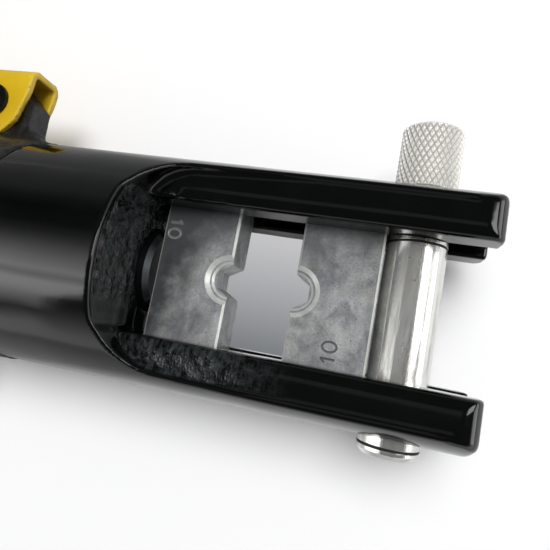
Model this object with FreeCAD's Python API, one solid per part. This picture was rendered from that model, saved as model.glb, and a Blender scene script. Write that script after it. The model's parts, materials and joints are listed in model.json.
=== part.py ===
import FreeCAD, Part
import math
import os
from FreeCAD import Vector

# Hand hydraulic crimping tool for cable lugs, lying on its side.
# Millimetres. The origin is the crimp centre, on the parting face of the fixed die.
# +X runs to the tip of the fork, +Y to the moving handle, +Z out of the open face.

# Fits
running_clearance = 0.05     # radial, shafts that turn or slide
seat_clearance = 0.02        # radial, pieces fixed into each other
guide_clearance = 0.2        # die in its guide groove, each side
free_gap = 0.3               # between moving pieces that never touch

# Dies
die_length = 16.4
die_half_width = 16.4
die_thickness = 10.0
die_chamfer = 0.45
die_gap = 13.6               # opening between the dies at rest
closed_gap = 0.2             # left between the dies at the end of the stroke
hex_across_flats = 6.0
relief_outer_radius = 5.3    # countersink round the hexagon on both faces
relief_inner_radius = 4.2
relief_depth = 1.2

# Head casting
head_radius = 25.0
tip_rounding = 5.0
pin_to_tip = 15.4
window_half_width = 20.6     # wide recess cut in both faces of the fork
window_corner_radius = 9.0
window_floor_z = 12.5
tip_face_round = 2.5         # where the fork's flat faces meet its end
guide_half_width = 13.8      # narrow slot that goes right through
guide_corner_radius = 1.6
guide_edge_chamfer = 1.3
die_back_gap = 3.2           # moving die to end wall of the slot
front_wall = 11.8
bore_radius = 17.0
spigot_radius = 22.0         # turned end that screws into the pump body
spigot_length = 24.8

# Lock pin
pin_radius = 6.0
die_to_pin_gap = 0.2
pin_end_beyond = 3.0         # pin end past the lower arm
pin_chamfer = 0.9
pin_ring_width = 0.9
pin_ring_depth = 0.9
pin_ring_inset = 0.9         # ring edge to arm wall
pin_hole_land = 0.5          # flat face under the knob, below the round of the arm
knob_radius = 6.3
knob_height = 14.8
knob_dome = 2.2
knob_neck = 1.0
knob_flat_share = 0.35       # flat at the crown's middle, as a share of the radius
knob_shoulder_share = 0.68   # rise of the crown's lower taper, as a share of its height

# Ram
rod_radius = 9.0
piston_length = 12.0
spring_space = 25.0          # piston to front wall at rest
oil_chamber = 4.0
rod_nose_chamfer = 1.0
magnet_radius = 4.0
magnet_length = 3.0
seal_width = 3.0
seal_depth = 2.4
backup_width = 1.4
seal_inset = 3.0
wiper_width = 3.0
wiper_depth = 2.2
wiper_inset = 3.2
spring_wire_radius = 1.3
spring_mean_radius = 13.2
spring_turns = 4.0
spring_end_gap = 0.15
coil_steps = 14              # flat lengths in each turn of a spring

# Pump body casting
collar_radius = 25.3
collar_length = 36.0
collar_bevel = 0.4
collar_step = 2.0            # length of the taper from the collar down to the block
block_radius = 24.0
block_tail = 21.3            # plunger axis to rear face of the block
block_bevel = 2.2
tube_spigot_length = 12.0
nipple_radius = 8.0
nipple_length = 10.0
nipple_bore = 3.0
pad_y = 17.0                 # machined top face round the plunger
pad_front = 11.2
pad_rear = 12.5
head_seal_width = 2.4
head_seal_depth = 1.5
head_seal_radius = 19.4

# Handle pivot lug
pivot_back = 20.0            # pivot behind the collar's front face
pivot_y = 34.2
pivot_pin_radius = 2.5
clip_radius = 4.1
clip_thickness = 0.8
clip_groove_depth = 0.5
pin_overhang = 0.6
clip_pin_bevel = 0.3
clip_mouth = 1.0
lug_half_thickness = 3.2
lug_front = 10.0             # lug face ahead of the pivot
lug_back = 6.6
lug_foot = 3.6
lug_head_clearance = 0.4     # lug head to the inside of the channel's web

# Handle motion
arm_reach = 21.5             # pivot to plunger axis, along X
rest_angle = 20.0            # slope of the pump arm at rest, degrees
handle_swing = 40.0
slot_clearance = 0.4         # open joint: link pin in the channel's slots

# Pump plunger
plunger_radius = 4.5
plunger_length = 24.5
eye_half_thickness = 3.1
eye_radius = 4.8
link_pin_radius = 2.5
plunger_end_gap = 1.5

# Gland
gland_shank_radius = 7.0
gland_shank_length = 8.0
gland_across_flats = 16.0
gland_head = 3.5
gland_seal_width = 2.5
gland_seal_depth = 1.4
gland_seal_inset = 3.0

# Valves
poppet_radius = 2.6
poppet_nose_radius = 0.6
poppet_length = 5.0          # nose to the spring, past the seat's edge
poppet_lift = 1.2            # room above a poppet that opens
valve_bore_radius = 3.6
valve_seat_radius = 1.6
seat_length = 2.5
valve_spring_wire = 0.4
valve_spring_radius = 2.2
valve_spring_turns = 4.0
valve_spring_length = 5.0
valve_spring_gap = 0.1
plug_length = 6.0
screw_inset = 0.3            # headless screws stop this far below the surface
relief_screw_inset = 1.0
discharge_plug_inset = 0.2
discharge_plug_width = 1.0
socket_radius = 1.8
socket_depth = 2.5
discharge_y = -1.5
feed_end_y = -4.0
relief_offset = 6.0          # relief valve ahead of the plug in the pressure bore
release_offset = 7.5
release_bore_radius = 4.0
release_boss_wall = 1.5
release_boss_height = 1.5
release_stem_radius = 2.6
release_seat_y = -11.0
release_point_gap = 0.4
release_point_radius = 0.6
release_ring_inset = 0.4
release_knob_radius = 9.0
release_knob_height = 11.0
release_knob_gap = 0.6
release_ring_width = 2.0
release_knob_bevel = 1.0
knob_flutes = 10
flute_radius = 1.5
flute_out = 0.4              # centre of a flute outside the knob's side

# Reservoir and fixed handle
tube_radius = 16.0
tube_wall = 2.0
tube_length = 194.0
bladder_radius = 12.6
bladder_wall = 1.4
bladder_end_gap = 22.0
bladder_neck_length = 9.0
bladder_taper = 8.0
clamp_width = 4.0
clamp_thickness = 1.0
strainer_radius = 5.0
strainer_length = 4.0
end_cap_length = 9.0
end_cap_spigot = 10.0
end_cap_proud = 0.8
end_cap_bevel = 1.6
filler_radius = 4.0
filler_length = 6.0
grip_radius = 19.0
grip_length = 112.0
grip_end_gap = 2.0
grip_bevel = 1.6
grip_groove_pitch = 22.0
grip_groove_floor = 9.0
grip_groove_depth = 1.0
grip_groove_lean = 1.5       # run of a groove's side for each unit of depth
grip_plain_end = 10.0

# Moving handle
channel_half_width = 5.0
channel_wall = 1.6
channel_top_above_pivot = 9.0
channel_bend = 2.2
nose_radius = 8.2
nose_angle = 13.0
channel_front = 9.4
plate_flat_y = 26.0
plate_boss_radius = 5.3
narrow_length = 31.0         # pivot to where the channel starts to widen
flare_length = 28.0
wide_length = 24.0
handle_slope = 5.0
slope_lead = 7.0             # the top turns up this far ahead of the flare
handle_tube_radius = 9.0
handle_tube_wall = 1.5
handle_tube_length = 190.0
handle_tube_lap = 22.0
handle_grip_radius = 13.0
handle_grip_length = 128.0
handle_grip_bevel = 1.8
handle_plug_length = 12.0
handle_plug_rim = 2.0
rivet_radius = 2.5
rivet_head_radius = 4.4
rivet_head_height = 1.6
rivet_spacing = 10.0
rivet_inset = 6.0

# Grub screw that locks the head in the pump body
grub_radius = 2.5
grub_back = 11.0

# Places worked out along the tool's axis
groove_half_width = die_half_width + guide_clearance
groove_half_height = die_thickness / 2 + guide_clearance
stroke = die_gap - closed_gap
lock_pin_x = die_length + die_to_pin_gap + pin_radius
tip_x = lock_pin_x + pin_to_tip
ram_nose_x = -die_gap - die_length
window_end_x = ram_nose_x - die_back_gap
wall_back_x = window_end_x - front_wall
piston_front_x = wall_back_x - spring_space
piston_rear_x = piston_front_x - piston_length
cylinder_rear_x = piston_rear_x - oil_chamber
collar_front_x = cylinder_rear_x + spigot_length
collar_rear_x = collar_front_x - collar_length
pivot_x = collar_front_x - pivot_back
plunger_x = pivot_x - arm_reach
link_rest_y = pivot_y - arm_reach * math.tan(math.radians(rest_angle))
block_rear_x = plunger_x - block_tail
spigot_end_x = block_rear_x - tube_spigot_length
nipple_end_x = spigot_end_x - nipple_length
tube_end_x = block_rear_x - tube_length
tube_bore = tube_radius - tube_wall
channel_top_y = pivot_y + channel_top_above_pivot
channel_inner = channel_half_width - channel_wall
flare_x = pivot_x - narrow_length
wide_x = flare_x - flare_length
slope_x = flare_x + slope_lead
channel_end_x = wide_x - wide_length
wide_inner = handle_tube_radius + guide_clearance
wide_half_width = wide_inner + channel_wall
slope = math.tan(math.radians(handle_slope))
plunger_top_y = link_rest_y - eye_radius - 1.0
plunger_bottom_y = plunger_top_y - plunger_length
plunger_bore_y = plunger_bottom_y - plunger_end_gap
suction_seat_y = plunger_bore_y - poppet_length - poppet_lift
pin_top_y = head_radius - pin_hole_land
axis_x = Vector(1, 0, 0)
axis_y = Vector(0, 1, 0)
axis_z = Vector(0, 0, 1)
big = 80.0                   # reach of cutting tools past the tool's sides


def cylinder_x(radius, x0, x1, y=0.0, z=0.0):
    return Part.makeCylinder(radius, x1 - x0, Vector(x0, y, z), axis_x)


def cylinder_y(radius, x, y0, y1, z=0.0):
    return Part.makeCylinder(radius, y1 - y0, Vector(x, y0, z), axis_y)


def cylinder_z(radius, x, y, z0, z1):
    return Part.makeCylinder(radius, z1 - z0, Vector(x, y, z0), axis_z)


def block(x0, x1, y0, y1, z0, z1):
    return Part.makeBox(x1 - x0, y1 - y0, z1 - z0, Vector(x0, y0, z0))


def tube_x(outer, inner, x0, x1):
    return cylinder_x(outer, x0, x1).cut(cylinder_x(inner, x0, x1))


def outline(start, steps, place):
    # A step is a point for a straight line, or (middle, end) for an arc.
    edges = []
    here = place(*start)
    for step in steps:
        if isinstance(step[0], tuple):
            middle = place(*step[0])
            there = place(*step[1])
            edges.append(Part.Arc(here, middle, there).toShape())
        else:
            there = place(*step)
            edges.append(Part.makeLine(here, there))
        here = there
    first = place(*start)
    if here.distanceToPoint(first) > 1e-6:
        edges.append(Part.makeLine(here, first))
    return Part.Face(Part.Wire(edges))


def prism_z(start, steps, z0, z1):
    face = outline(start, steps, lambda x, y: Vector(x, y, z0))
    return face.extrude(Vector(0, 0, z1 - z0))


def prism_y(start, steps, y0, y1):
    face = outline(start, steps, lambda x, z: Vector(x, y0, z))
    return face.extrude(Vector(0, y1 - y0, 0))


def turned_x(start, steps):
    face = outline(start, steps, lambda x, r: Vector(x, r, 0))
    return face.revolve(Vector(0, 0, 0), axis_x, 360)


def coil(mean_radius, wire_radius, length, turns, start, direction):
    # Hexagonal sections of the wire, set out along a helix and joined by flat facets.
    rise = (length - 2 * wire_radius) / (turns * coil_steps)
    sections = []
    for step in range(int(turns * coil_steps) + 1):
        ring = []
        for corner in range(7):
            angle = math.pi / 3 * corner
            reach = mean_radius + wire_radius * math.cos(angle)
            height = wire_radius + step * rise + wire_radius * math.sin(angle)
            ring.append(Vector(reach, 0, height))
        section = Part.makePolygon(ring)
        section.rotate(Vector(0, 0, 0), axis_z, 360 / coil_steps * step)
        sections.append(section)
    spring = Part.makeLoft(sections, True, True)
    turn = FreeCAD.Rotation(axis_z, direction)
    spring.Placement = FreeCAD.Placement(start, turn).multiply(spring.Placement)
    return spring


def socket_screw(radius, length, start, direction):
    # A headless screw with a blind socket in the face at its far end.
    body = Part.makeCylinder(radius, length, start, direction)
    mouth = start + Vector(direction) * (length - socket_depth)
    socket = Part.makeCylinder(socket_radius, socket_depth, mouth, direction)
    return body.cut(socket)


def window_prism(z0, z1):
    # The wide recess seen from above, with large corner rounds at its closed end.
    end = window_end_x
    round_x = end + window_corner_radius
    inner_y = window_half_width - window_corner_radius
    bite = window_corner_radius * (1 - math.sqrt(0.5))
    far = tip_x + 1
    steps = [
        ((end + bite, window_half_width - bite), (round_x, window_half_width)),
        (far, window_half_width),
        (far, -window_half_width),
        (round_x, -window_half_width),
        ((end + bite, -window_half_width + bite), (end, -inner_y)),
    ]
    return prism_z((end, inner_y), steps, z0, z1)


def guide_prism():
    # The narrow slot, open at the tip and through both faces.
    end = window_end_x
    round_x = end + guide_corner_radius
    inner_y = guide_half_width - guide_corner_radius
    bite = guide_corner_radius * (1 - math.sqrt(0.5))
    far = tip_x + 1
    steps = [
        ((end + bite, guide_half_width - bite), (round_x, guide_half_width)),
        (far, guide_half_width),
        (far, -guide_half_width),
        (round_x, -guide_half_width),
        ((end + bite, -guide_half_width + bite), (end, -inner_y)),
    ]
    return prism_z((end, inner_y), steps, -big, big)


def lip_chamfers():
    # Bevels along the four edges where the narrow slot meets the recess floor.
    low = window_floor_z - guide_edge_chamfer
    high = window_floor_z + 1
    reach = guide_half_width + guide_edge_chamfer + 1
    x0 = window_end_x + window_corner_radius
    x1 = tip_x + 1
    cuts = []
    for side in (1, -1):
        for face in (1, -1):
            points = [
                Vector(x0, side * (guide_half_width - 1), face * (low - 1)),
                Vector(x0, side * reach, face * high),
                Vector(x0, side * (guide_half_width - 1), face * high),
            ]
            points.append(points[0])
            wedge = Part.Face(Part.makePolygon(points)).extrude(Vector(x1 - x0, 0, 0))
            cuts.append(wedge)
    return cuts


def head_body():
    outer_round = tip_rounding * (1 - math.sqrt(0.5))
    shell = turned_x(
        (cylinder_rear_x, bore_radius),
        [
            (cylinder_rear_x, spigot_radius),
            (collar_front_x, spigot_radius),
            (collar_front_x, head_radius),
            (tip_x - tip_rounding, head_radius),
            ((tip_x - outer_round, head_radius - outer_round), (tip_x, head_radius - tip_rounding)),
            (tip_x, 0),
            (window_end_x - 1, 0),
            (window_end_x - 1, rod_radius + running_clearance),
            (wall_back_x, rod_radius + running_clearance),
            (wall_back_x, bore_radius),
        ],
    )
    for z0, z1 in ((window_floor_z, big), (-big, -window_floor_z)):
        shell = shell.cut(window_prism(z0, z1))
    shell = shell.cut(tip_face_cuts())
    shell = shell.cut(guide_prism())
    shell = shell.cut(lip_chamfers())
    groove = block(
        window_end_x, tip_x + 1,
        -groove_half_width, groove_half_width,
        -groove_half_height, groove_half_height,
    )
    shell = shell.cut(groove)
    rod_hole = cylinder_x(rod_radius + running_clearance, wall_back_x - 1, window_end_x + 1)
    wiper_x = window_end_x - wiper_inset
    wiper_room = cylinder_x(rod_radius + wiper_depth, wiper_x - wiper_width, wiper_x)
    pin_hole = cylinder_y(pin_radius + running_clearance, lock_pin_x, -big, big)
    land = cylinder_y(knob_radius + free_gap, lock_pin_x, pin_top_y, big)
    shell = shell.cut([rod_hole, wiper_room, pin_hole, land])
    return shell


def tip_face_cuts():
    # Takes the corner off both flat faces of the fork where they meet its end.
    r = tip_face_round
    bite = r * (1 - math.sqrt(0.5))
    cuts = []
    for face in (1, -1):
        corner = outline(
            (tip_x - r, face * window_floor_z),
            [
                ((tip_x - bite, face * (window_floor_z - bite)), (tip_x, face * (window_floor_z - r))),
                (tip_x + 1, face * (window_floor_z - r)),
                (tip_x + 1, face * (window_floor_z + 1)),
                (tip_x - r, face * (window_floor_z + 1)),
            ],
            lambda x, z: Vector(x, -big, z),
        )
        cuts.append(corner.extrude(Vector(0, 2 * big, 0)))
    return cuts


def die(front_x, toward):
    # toward is +1 when the die's body lies on the +X side of its parting face
    back_x = front_x + toward * die_length
    half_z = die_thickness / 2
    blank = block(
        min(front_x, back_x), max(front_x, back_x),
        -die_half_width, die_half_width, -half_z, half_z,
    )
    rims = [edge for edge in blank.Edges if edge.BoundBox.ZLength < 1e-6]
    blank = blank.makeChamfer(die_chamfer, rims)
    corner = hex_across_flats / math.sqrt(3)
    depth = hex_across_flats / 2
    notch = prism_z(
        (front_x - toward, corner + 1 / math.sqrt(3)),
        [
            (front_x + toward * depth, corner / 2),
            (front_x + toward * depth, -corner / 2),
            (front_x - toward, -corner - 1 / math.sqrt(3)),
        ],
        -half_z - 1, half_z + 1,
    )
    blank = blank.cut(notch)
    for face in (1, -1):
        mouth = Vector(front_x, 0, face * half_z)
        inward = Vector(0, 0, -face)
        sink = Part.makeCone(relief_outer_radius, relief_inner_radius, relief_depth, mouth, inward)
        blank = blank.cut(sink)
    return blank


def fixed_die():
    return die(0, 1)


def moving_die():
    return die(-die_gap, -1)


def rod_wiper():
    x1 = window_end_x - wiper_inset
    outer = rod_radius + wiper_depth - seat_clearance
    return tube_x(outer, rod_radius + running_clearance, x1 - wiper_width, x1)


def head_seal():
    outer = head_seal_radius + head_seal_width / 2 - seat_clearance
    inner = head_seal_radius - head_seal_width / 2 + seat_clearance
    return tube_x(outer, inner, cylinder_rear_x - head_seal_depth, cylinder_rear_x)


def seal_groove_front():
    return piston_rear_x + seal_inset + seal_width + backup_width


def ram():
    rear = piston_rear_x
    piston_radius = bore_radius - running_clearance
    groove_front = seal_groove_front()
    groove_rear = rear + seal_inset
    floor = bore_radius - seal_depth
    body = turned_x(
        (rear, 0),
        [
            (rear, piston_radius),
            (groove_rear, piston_radius),
            (groove_rear, floor),
            (groove_front, floor),
            (groove_front, piston_radius),
            (piston_front_x, piston_radius),
            (piston_front_x, rod_radius),
            (ram_nose_x - rod_nose_chamfer, rod_radius),
            (ram_nose_x, rod_radius - rod_nose_chamfer),
            (ram_nose_x, 0),
        ],
    )
    recess = cylinder_x(magnet_radius + seat_clearance, ram_nose_x - magnet_length, ram_nose_x)
    return body.cut(recess)


def die_magnet():
    return cylinder_x(magnet_radius, ram_nose_x - magnet_length, ram_nose_x)


def piston_seal():
    rear = piston_rear_x + seal_inset
    inner = bore_radius - seal_depth + seat_clearance
    return tube_x(bore_radius - running_clearance, inner, rear, rear + seal_width)


def backup_ring():
    rear = piston_rear_x + seal_inset + seal_width
    inner = bore_radius - seal_depth + seat_clearance
    return tube_x(bore_radius - running_clearance, inner, rear, rear + backup_width)


def return_spring():
    start = Vector(piston_front_x + spring_end_gap, 0, 0)
    length = spring_space - 2 * spring_end_gap
    return coil(spring_mean_radius, spring_wire_radius, length, spring_turns, start, axis_x)


def pin_ring_places():
    upper = guide_half_width - pin_ring_inset
    lower = -head_radius - pin_ring_inset
    return (upper, lower)


def lock_pin():
    bottom = -head_radius - pin_end_beyond
    shank = cylinder_y(pin_radius, lock_pin_x, bottom, pin_top_y)
    ends = []
    for edge in shank.Edges:
        box = edge.BoundBox
        if box.YLength < 1e-6 and abs(box.YMin - bottom) < 1e-6:
            ends.append(edge)
    shank = shank.makeChamfer(pin_chamfer, ends)
    for top in pin_ring_places():
        outer = cylinder_y(pin_radius + 1, lock_pin_x, top - pin_ring_width, top)
        inner = cylinder_y(pin_radius - pin_ring_depth, lock_pin_x, top - pin_ring_width, top)
        shank = shank.cut(outer.cut(inner))
    return shank


def lock_pin_rings():
    rings = []
    for top in pin_ring_places():
        outer = cylinder_y(pin_radius, lock_pin_x, top - pin_ring_width, top)
        inner_radius = pin_radius - pin_ring_depth + seat_clearance
        inner = cylinder_y(inner_radius, lock_pin_x, top - pin_ring_width, top)
        rings.append(outer.cut(inner))
    return Part.makeCompound(rings)


def lock_pin_knob():
    # Seen in section: a neck that widens to the knurled side, and a low crown in two tapers.
    base = pin_top_y
    top = base + knob_height
    side = top - knob_dome
    flat = knob_radius * knob_flat_share
    shoulder = (knob_radius + flat) / 2
    corners = [
        (0, base),
        (pin_radius, base),
        (knob_radius, base + knob_neck),
        (knob_radius, side),
        (shoulder, top - knob_dome * (1 - knob_shoulder_share)),
        (flat, top),
        (0, top),
        (0, base),
    ]
    ring = [Vector(radius, y, 0) for radius, y in corners]
    knob = Part.Face(Part.makePolygon(ring)).revolve(Vector(0, 0, 0), axis_y, 360)
    knob.translate(Vector(lock_pin_x, 0, 0))
    return knob


def lug():
    # Ear of the casting that carries the handle pivot. Its head is round where the
    # channel's web turns past it, and a flat meets the web when the handle is raised.
    head = channel_top_y - channel_wall - pivot_y - lug_head_clearance
    stop = math.radians(90 - handle_swing)
    front_x = pivot_x + lug_front
    back_x = pivot_x - lug_back
    tangent_x = pivot_x + head * math.cos(stop)
    tangent_y = pivot_y + head * math.sin(stop)
    front_y = tangent_y - (front_x - tangent_x) / math.tan(stop)
    middle = (stop + math.pi / 2) / 2
    arc_middle = (pivot_x + head * math.cos(middle), pivot_y + head * math.sin(middle))
    foot_y = collar_radius - 1
    steps = [
        (front_x + lug_foot, foot_y + 1),
        ((front_x + lug_foot * 0.3, foot_y + 1 + lug_foot * 0.3), (front_x, foot_y + 1 + lug_foot)),
        (front_x, front_y),
        (tangent_x, tangent_y),
        (arc_middle, (pivot_x, pivot_y + head)),
        ((pivot_x - lug_back * 0.72, pivot_y + head * 0.7), (back_x, pivot_y)),
        (back_x - 1, foot_y),
    ]
    return prism_z((front_x + lug_foot, foot_y), steps, -lug_half_thickness, lug_half_thickness)


def pump_body():
    front = collar_front_x
    rear = block_rear_x
    casting = turned_x(
        (front, spigot_radius + seat_clearance),
        [
            (front, collar_radius - collar_bevel),
            (front - collar_bevel, collar_radius),
            (collar_rear_x, collar_radius),
            (collar_rear_x - collar_step, block_radius),
            (rear + block_bevel, block_radius),
            (rear, block_radius - block_bevel),
            (rear, tube_bore - seat_clearance),
            (spigot_end_x, tube_bore - seat_clearance),
            (spigot_end_x, nipple_radius),
            (nipple_end_x, nipple_radius),
            (nipple_end_x, 0),
            (cylinder_rear_x, 0),
            (cylinder_rear_x, spigot_radius + seat_clearance),
        ],
    )
    casting = casting.fuse(lug())
    foot = release_boss()
    casting = casting.fuse(foot)
    pad = block(plunger_x - pad_rear, plunger_x + pad_front, pad_y, big, -big, big)
    pad_keep = block(pivot_x - lug_back - 1, big, pad_y, big, -big, big)
    casting = casting.cut(pad.cut(pad_keep))
    casting = casting.cut(pump_bores())
    return casting.removeSplitter()


def release_x():
    return cylinder_rear_x - release_offset


def release_mouth_y():
    return -collar_radius - release_boss_height


def release_boss():
    root_y = -spigot_radius - seat_clearance - 0.5
    return cylinder_y(release_bore_radius + release_boss_wall, release_x(), release_mouth_y(), root_y)


def relief_x():
    return cylinder_rear_x - relief_offset


def pump_bores():
    seat_y = suction_seat_y
    room_radius = valve_bore_radius
    seat_front_x = cylinder_rear_x - pressure_room()
    bores = [
        cylinder_y(plunger_radius + running_clearance, plunger_x, plunger_bore_y, big),
        cylinder_y(gland_shank_radius, plunger_x, pad_y - gland_shank_length, big),
        cylinder_y(room_radius, plunger_x, seat_y, plunger_bore_y),
        cylinder_y(valve_seat_radius, plunger_x, seat_y - seat_length, seat_y),
        cylinder_y(room_radius, plunger_x, -big, seat_y - seat_length),
        cylinder_x(valve_seat_radius, plunger_x, seat_front_x, discharge_y),
        cylinder_x(room_radius, seat_front_x, cylinder_rear_x + 1, discharge_y),
        cylinder_z(valve_seat_radius, relief_x(), discharge_y, 0, relief_seat_z()),
        cylinder_z(room_radius, relief_x(), discharge_y, relief_seat_z(), big),
        cylinder_y(valve_seat_radius, release_x(), release_seat_y, discharge_y),
        cylinder_y(release_bore_radius, release_x(), -big, release_seat_y),
        cylinder_z(pivot_pin_radius + seat_clearance, pivot_x, pivot_y, -big, big),
        cylinder_y(grub_radius + seat_clearance, grub_x(), -big, -spigot_radius + 1),
        head_seal_groove(),
        feed_bore(),
    ]
    return bores


def head_seal_groove():
    outer = head_seal_radius + head_seal_width / 2
    inner = head_seal_radius - head_seal_width / 2
    return tube_x(outer, inner, cylinder_rear_x - head_seal_depth, cylinder_rear_x)


def feed_bore():
    # A slanting drilling from the reservoir to the suction valve.
    low = Vector(plunger_x, suction_seat_y - seat_length - valve_bore_radius, 0)
    high = Vector(nipple_end_x - 1, feed_end_y, 0)
    slanted = Part.makeCylinder(valve_seat_radius, low.distanceToPoint(high), low, high - low)
    mouth = cylinder_x(nipple_bore, nipple_end_x - 1, spigot_end_x, feed_end_y + nipple_bore)
    return slanted.fuse(mouth)


def pressure_room():
    return poppet_length + valve_spring_length + poppet_lift


def relief_seat_z():
    return valve_bore_radius + seat_length


def grub_x():
    return collar_front_x - grub_back


def lock_grub_screw():
    start = Vector(grub_x(), -spigot_radius, 0)
    length = collar_radius - spigot_radius - screw_inset
    return socket_screw(grub_radius, length, start, Vector(0, -1, 0))


def poppet(seat, direction):
    # A cone that closes the sharp edge of its seat, with a plain guide behind it.
    reach = valve_seat_radius - poppet_nose_radius
    cone_length = poppet_radius - poppet_nose_radius
    nose = seat + Vector(direction) * (seat_clearance - reach)
    back = nose + Vector(direction) * cone_length
    cone = Part.makeCone(poppet_nose_radius, poppet_radius, cone_length, nose, direction)
    guide = Part.makeCylinder(poppet_radius, poppet_length - cone_length, back, direction)
    return cone.fuse(guide).removeSplitter()


def valve_spring(start, direction):
    return coil(
        valve_spring_radius, valve_spring_wire, valve_spring_length, valve_spring_turns,
        start, direction,
    )


def discharge_poppet():
    return poppet(Vector(cylinder_rear_x - pressure_room(), discharge_y, 0), axis_x)


def discharge_spring():
    x = cylinder_rear_x - pressure_room() + poppet_length
    return valve_spring(Vector(x, discharge_y, 0), axis_x)


def discharge_plug():
    front = cylinder_rear_x - discharge_plug_inset
    rear = front - discharge_plug_width
    ring = cylinder_x(valve_bore_radius - seat_clearance, rear, front, discharge_y)
    return ring.cut(cylinder_x(valve_seat_radius, rear - 1, front + 1, discharge_y))


def suction_poppet():
    return poppet(Vector(plunger_x, suction_seat_y, 0), axis_y)


def suction_plug():
    start = Vector(plunger_x, -block_radius + screw_inset + plug_length, 0)
    return socket_screw(valve_bore_radius - seat_clearance, plug_length, start, Vector(0, -1, 0))


def relief_poppet():
    return poppet(Vector(relief_x(), discharge_y, relief_seat_z()), axis_z)


def relief_spring():
    z = relief_seat_z() + poppet_length
    return valve_spring(Vector(relief_x(), discharge_y, z), axis_z)


def relief_screw():
    z = relief_seat_z() + poppet_length + valve_spring_length + valve_spring_gap
    length = collar_radius - relief_screw_inset - z
    start = Vector(relief_x(), discharge_y, z)
    return socket_screw(valve_bore_radius - seat_clearance, length, start, axis_z)


def release_stem():
    # Pointed spindle of the release valve, seen along -Y.
    x = release_x()
    tip = release_seat_y - release_point_gap
    shoulder = tip - release_stem_radius
    outer = release_mouth_y()
    place = Vector(x, tip, 0)
    down = Vector(0, -1, 0)
    point = Part.makeCone(release_point_radius, release_stem_radius, release_stem_radius, place, down)
    stem = cylinder_y(release_stem_radius, x, outer - release_knob_gap, shoulder)
    collar_top = shoulder - 2
    collar = cylinder_y(release_bore_radius - running_clearance, x, outer + release_ring_width + 1, collar_top)
    return point.fuse([stem, collar]).removeSplitter()


def release_seal():
    x = release_x()
    outer = release_mouth_y()
    low = outer + release_ring_inset
    high = low + release_ring_width
    ring = cylinder_y(release_bore_radius - seat_clearance, x, low, high)
    return ring.cut(cylinder_y(release_stem_radius + running_clearance, x, low - 1, high + 1))


def release_knob():
    x = release_x()
    top = release_mouth_y() - release_knob_gap
    knob = cylinder_y(release_knob_radius, x, top - release_knob_height, top)
    rims = []
    for edge in knob.Edges:
        if edge.BoundBox.YLength < 1e-6:
            rims.append(edge)
    knob = knob.makeChamfer(release_knob_bevel, rims)
    flutes = []
    for number in range(knob_flutes):
        angle = 2 * math.pi * number / knob_flutes
        fx = x + (release_knob_radius + flute_out) * math.cos(angle)
        fz = (release_knob_radius + flute_out) * math.sin(angle)
        flutes.append(cylinder_y(flute_radius, fx, top - release_knob_height - 1, top + 1, fz))
    return knob.cut(flutes)


def gland_nut():
    top = pad_y + gland_head
    flat = gland_across_flats / 2
    corner = flat / math.cos(math.pi / 6)
    ring = []
    for number in range(7):
        angle = math.pi / 3 * number
        ring.append(Vector(plunger_x + corner * math.cos(angle), pad_y, corner * math.sin(angle)))
    head = Part.Face(Part.makePolygon(ring)).extrude(Vector(0, gland_head, 0))
    shank = cylinder_y(gland_shank_radius - seat_clearance, plunger_x, pad_y - gland_shank_length, pad_y)
    bore = cylinder_y(plunger_radius + running_clearance, plunger_x, -big, big)
    seal_top = top - gland_seal_inset
    room = cylinder_y(plunger_radius + gland_seal_depth, plunger_x, seal_top - gland_seal_width, seal_top)
    return head.fuse(shank).cut([bore, room]).removeSplitter()


def gland_seal():
    seal_top = pad_y + gland_head - gland_seal_inset
    low = seal_top - gland_seal_width
    outer = cylinder_y(plunger_radius + gland_seal_depth - seat_clearance, plunger_x, low, seal_top)
    return outer.cut(cylinder_y(plunger_radius + running_clearance, plunger_x, low - 1, seal_top + 1))


def pump_plunger():
    rod = cylinder_y(plunger_radius, plunger_x, plunger_bottom_y, plunger_top_y)
    shape = prism_z(
        (plunger_x - eye_radius, plunger_top_y - 0.5),
        [
            (plunger_x + eye_radius, plunger_top_y - 0.5),
            (plunger_x + eye_radius, link_rest_y),
            ((plunger_x, link_rest_y + eye_radius), (plunger_x - eye_radius, link_rest_y)),
        ],
        -eye_half_thickness, eye_half_thickness,
    )
    neck = cylinder_y(plunger_radius, plunger_x, plunger_top_y - 0.5, plunger_top_y + 1.0)
    slab = block(plunger_x - big, plunger_x + big, -big, big, -eye_half_thickness, eye_half_thickness)
    eye = shape.fuse(neck.common(slab))
    bore = cylinder_z(link_pin_radius + seat_clearance, plunger_x, link_rest_y, -big, big)
    lower = block(plunger_x - big, plunger_x + big, -big, plunger_top_y, -big, big)
    eye = eye.cut(cylinder_ring_outside().common(lower))
    return rod.fuse(eye).cut(bore).removeSplitter()


def cylinder_ring_outside():
    # Everything outside the plunger's rod, near the root of its eye.
    slab = block(plunger_x - 10, plunger_x + 10, plunger_top_y - 1, plunger_top_y + 1, -10, 10)
    return slab.cut(cylinder_y(plunger_radius, plunger_x, plunger_top_y - 2, plunger_top_y + 2))


def clipped_pin(radius, x, y):
    half = channel_half_width + guide_clearance + clip_thickness + pin_overhang
    pin = cylinder_z(radius, x, y, -half, half)
    rims = []
    for edge in pin.Edges:
        if edge.BoundBox.ZLength < 1e-6:
            rims.append(edge)
    pin = pin.makeChamfer(clip_pin_bevel, rims)
    for side in (1, -1):
        inner_z = side * (channel_half_width + guide_clearance)
        outer_z = inner_z + side * clip_thickness
        low = min(inner_z, outer_z)
        high = max(inner_z, outer_z)
        groove = cylinder_z(radius + 1, x, y, low, high)
        groove = groove.cut(cylinder_z(radius - clip_groove_depth, x, y, low, high))
        pin = pin.cut(groove)
    return pin


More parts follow.
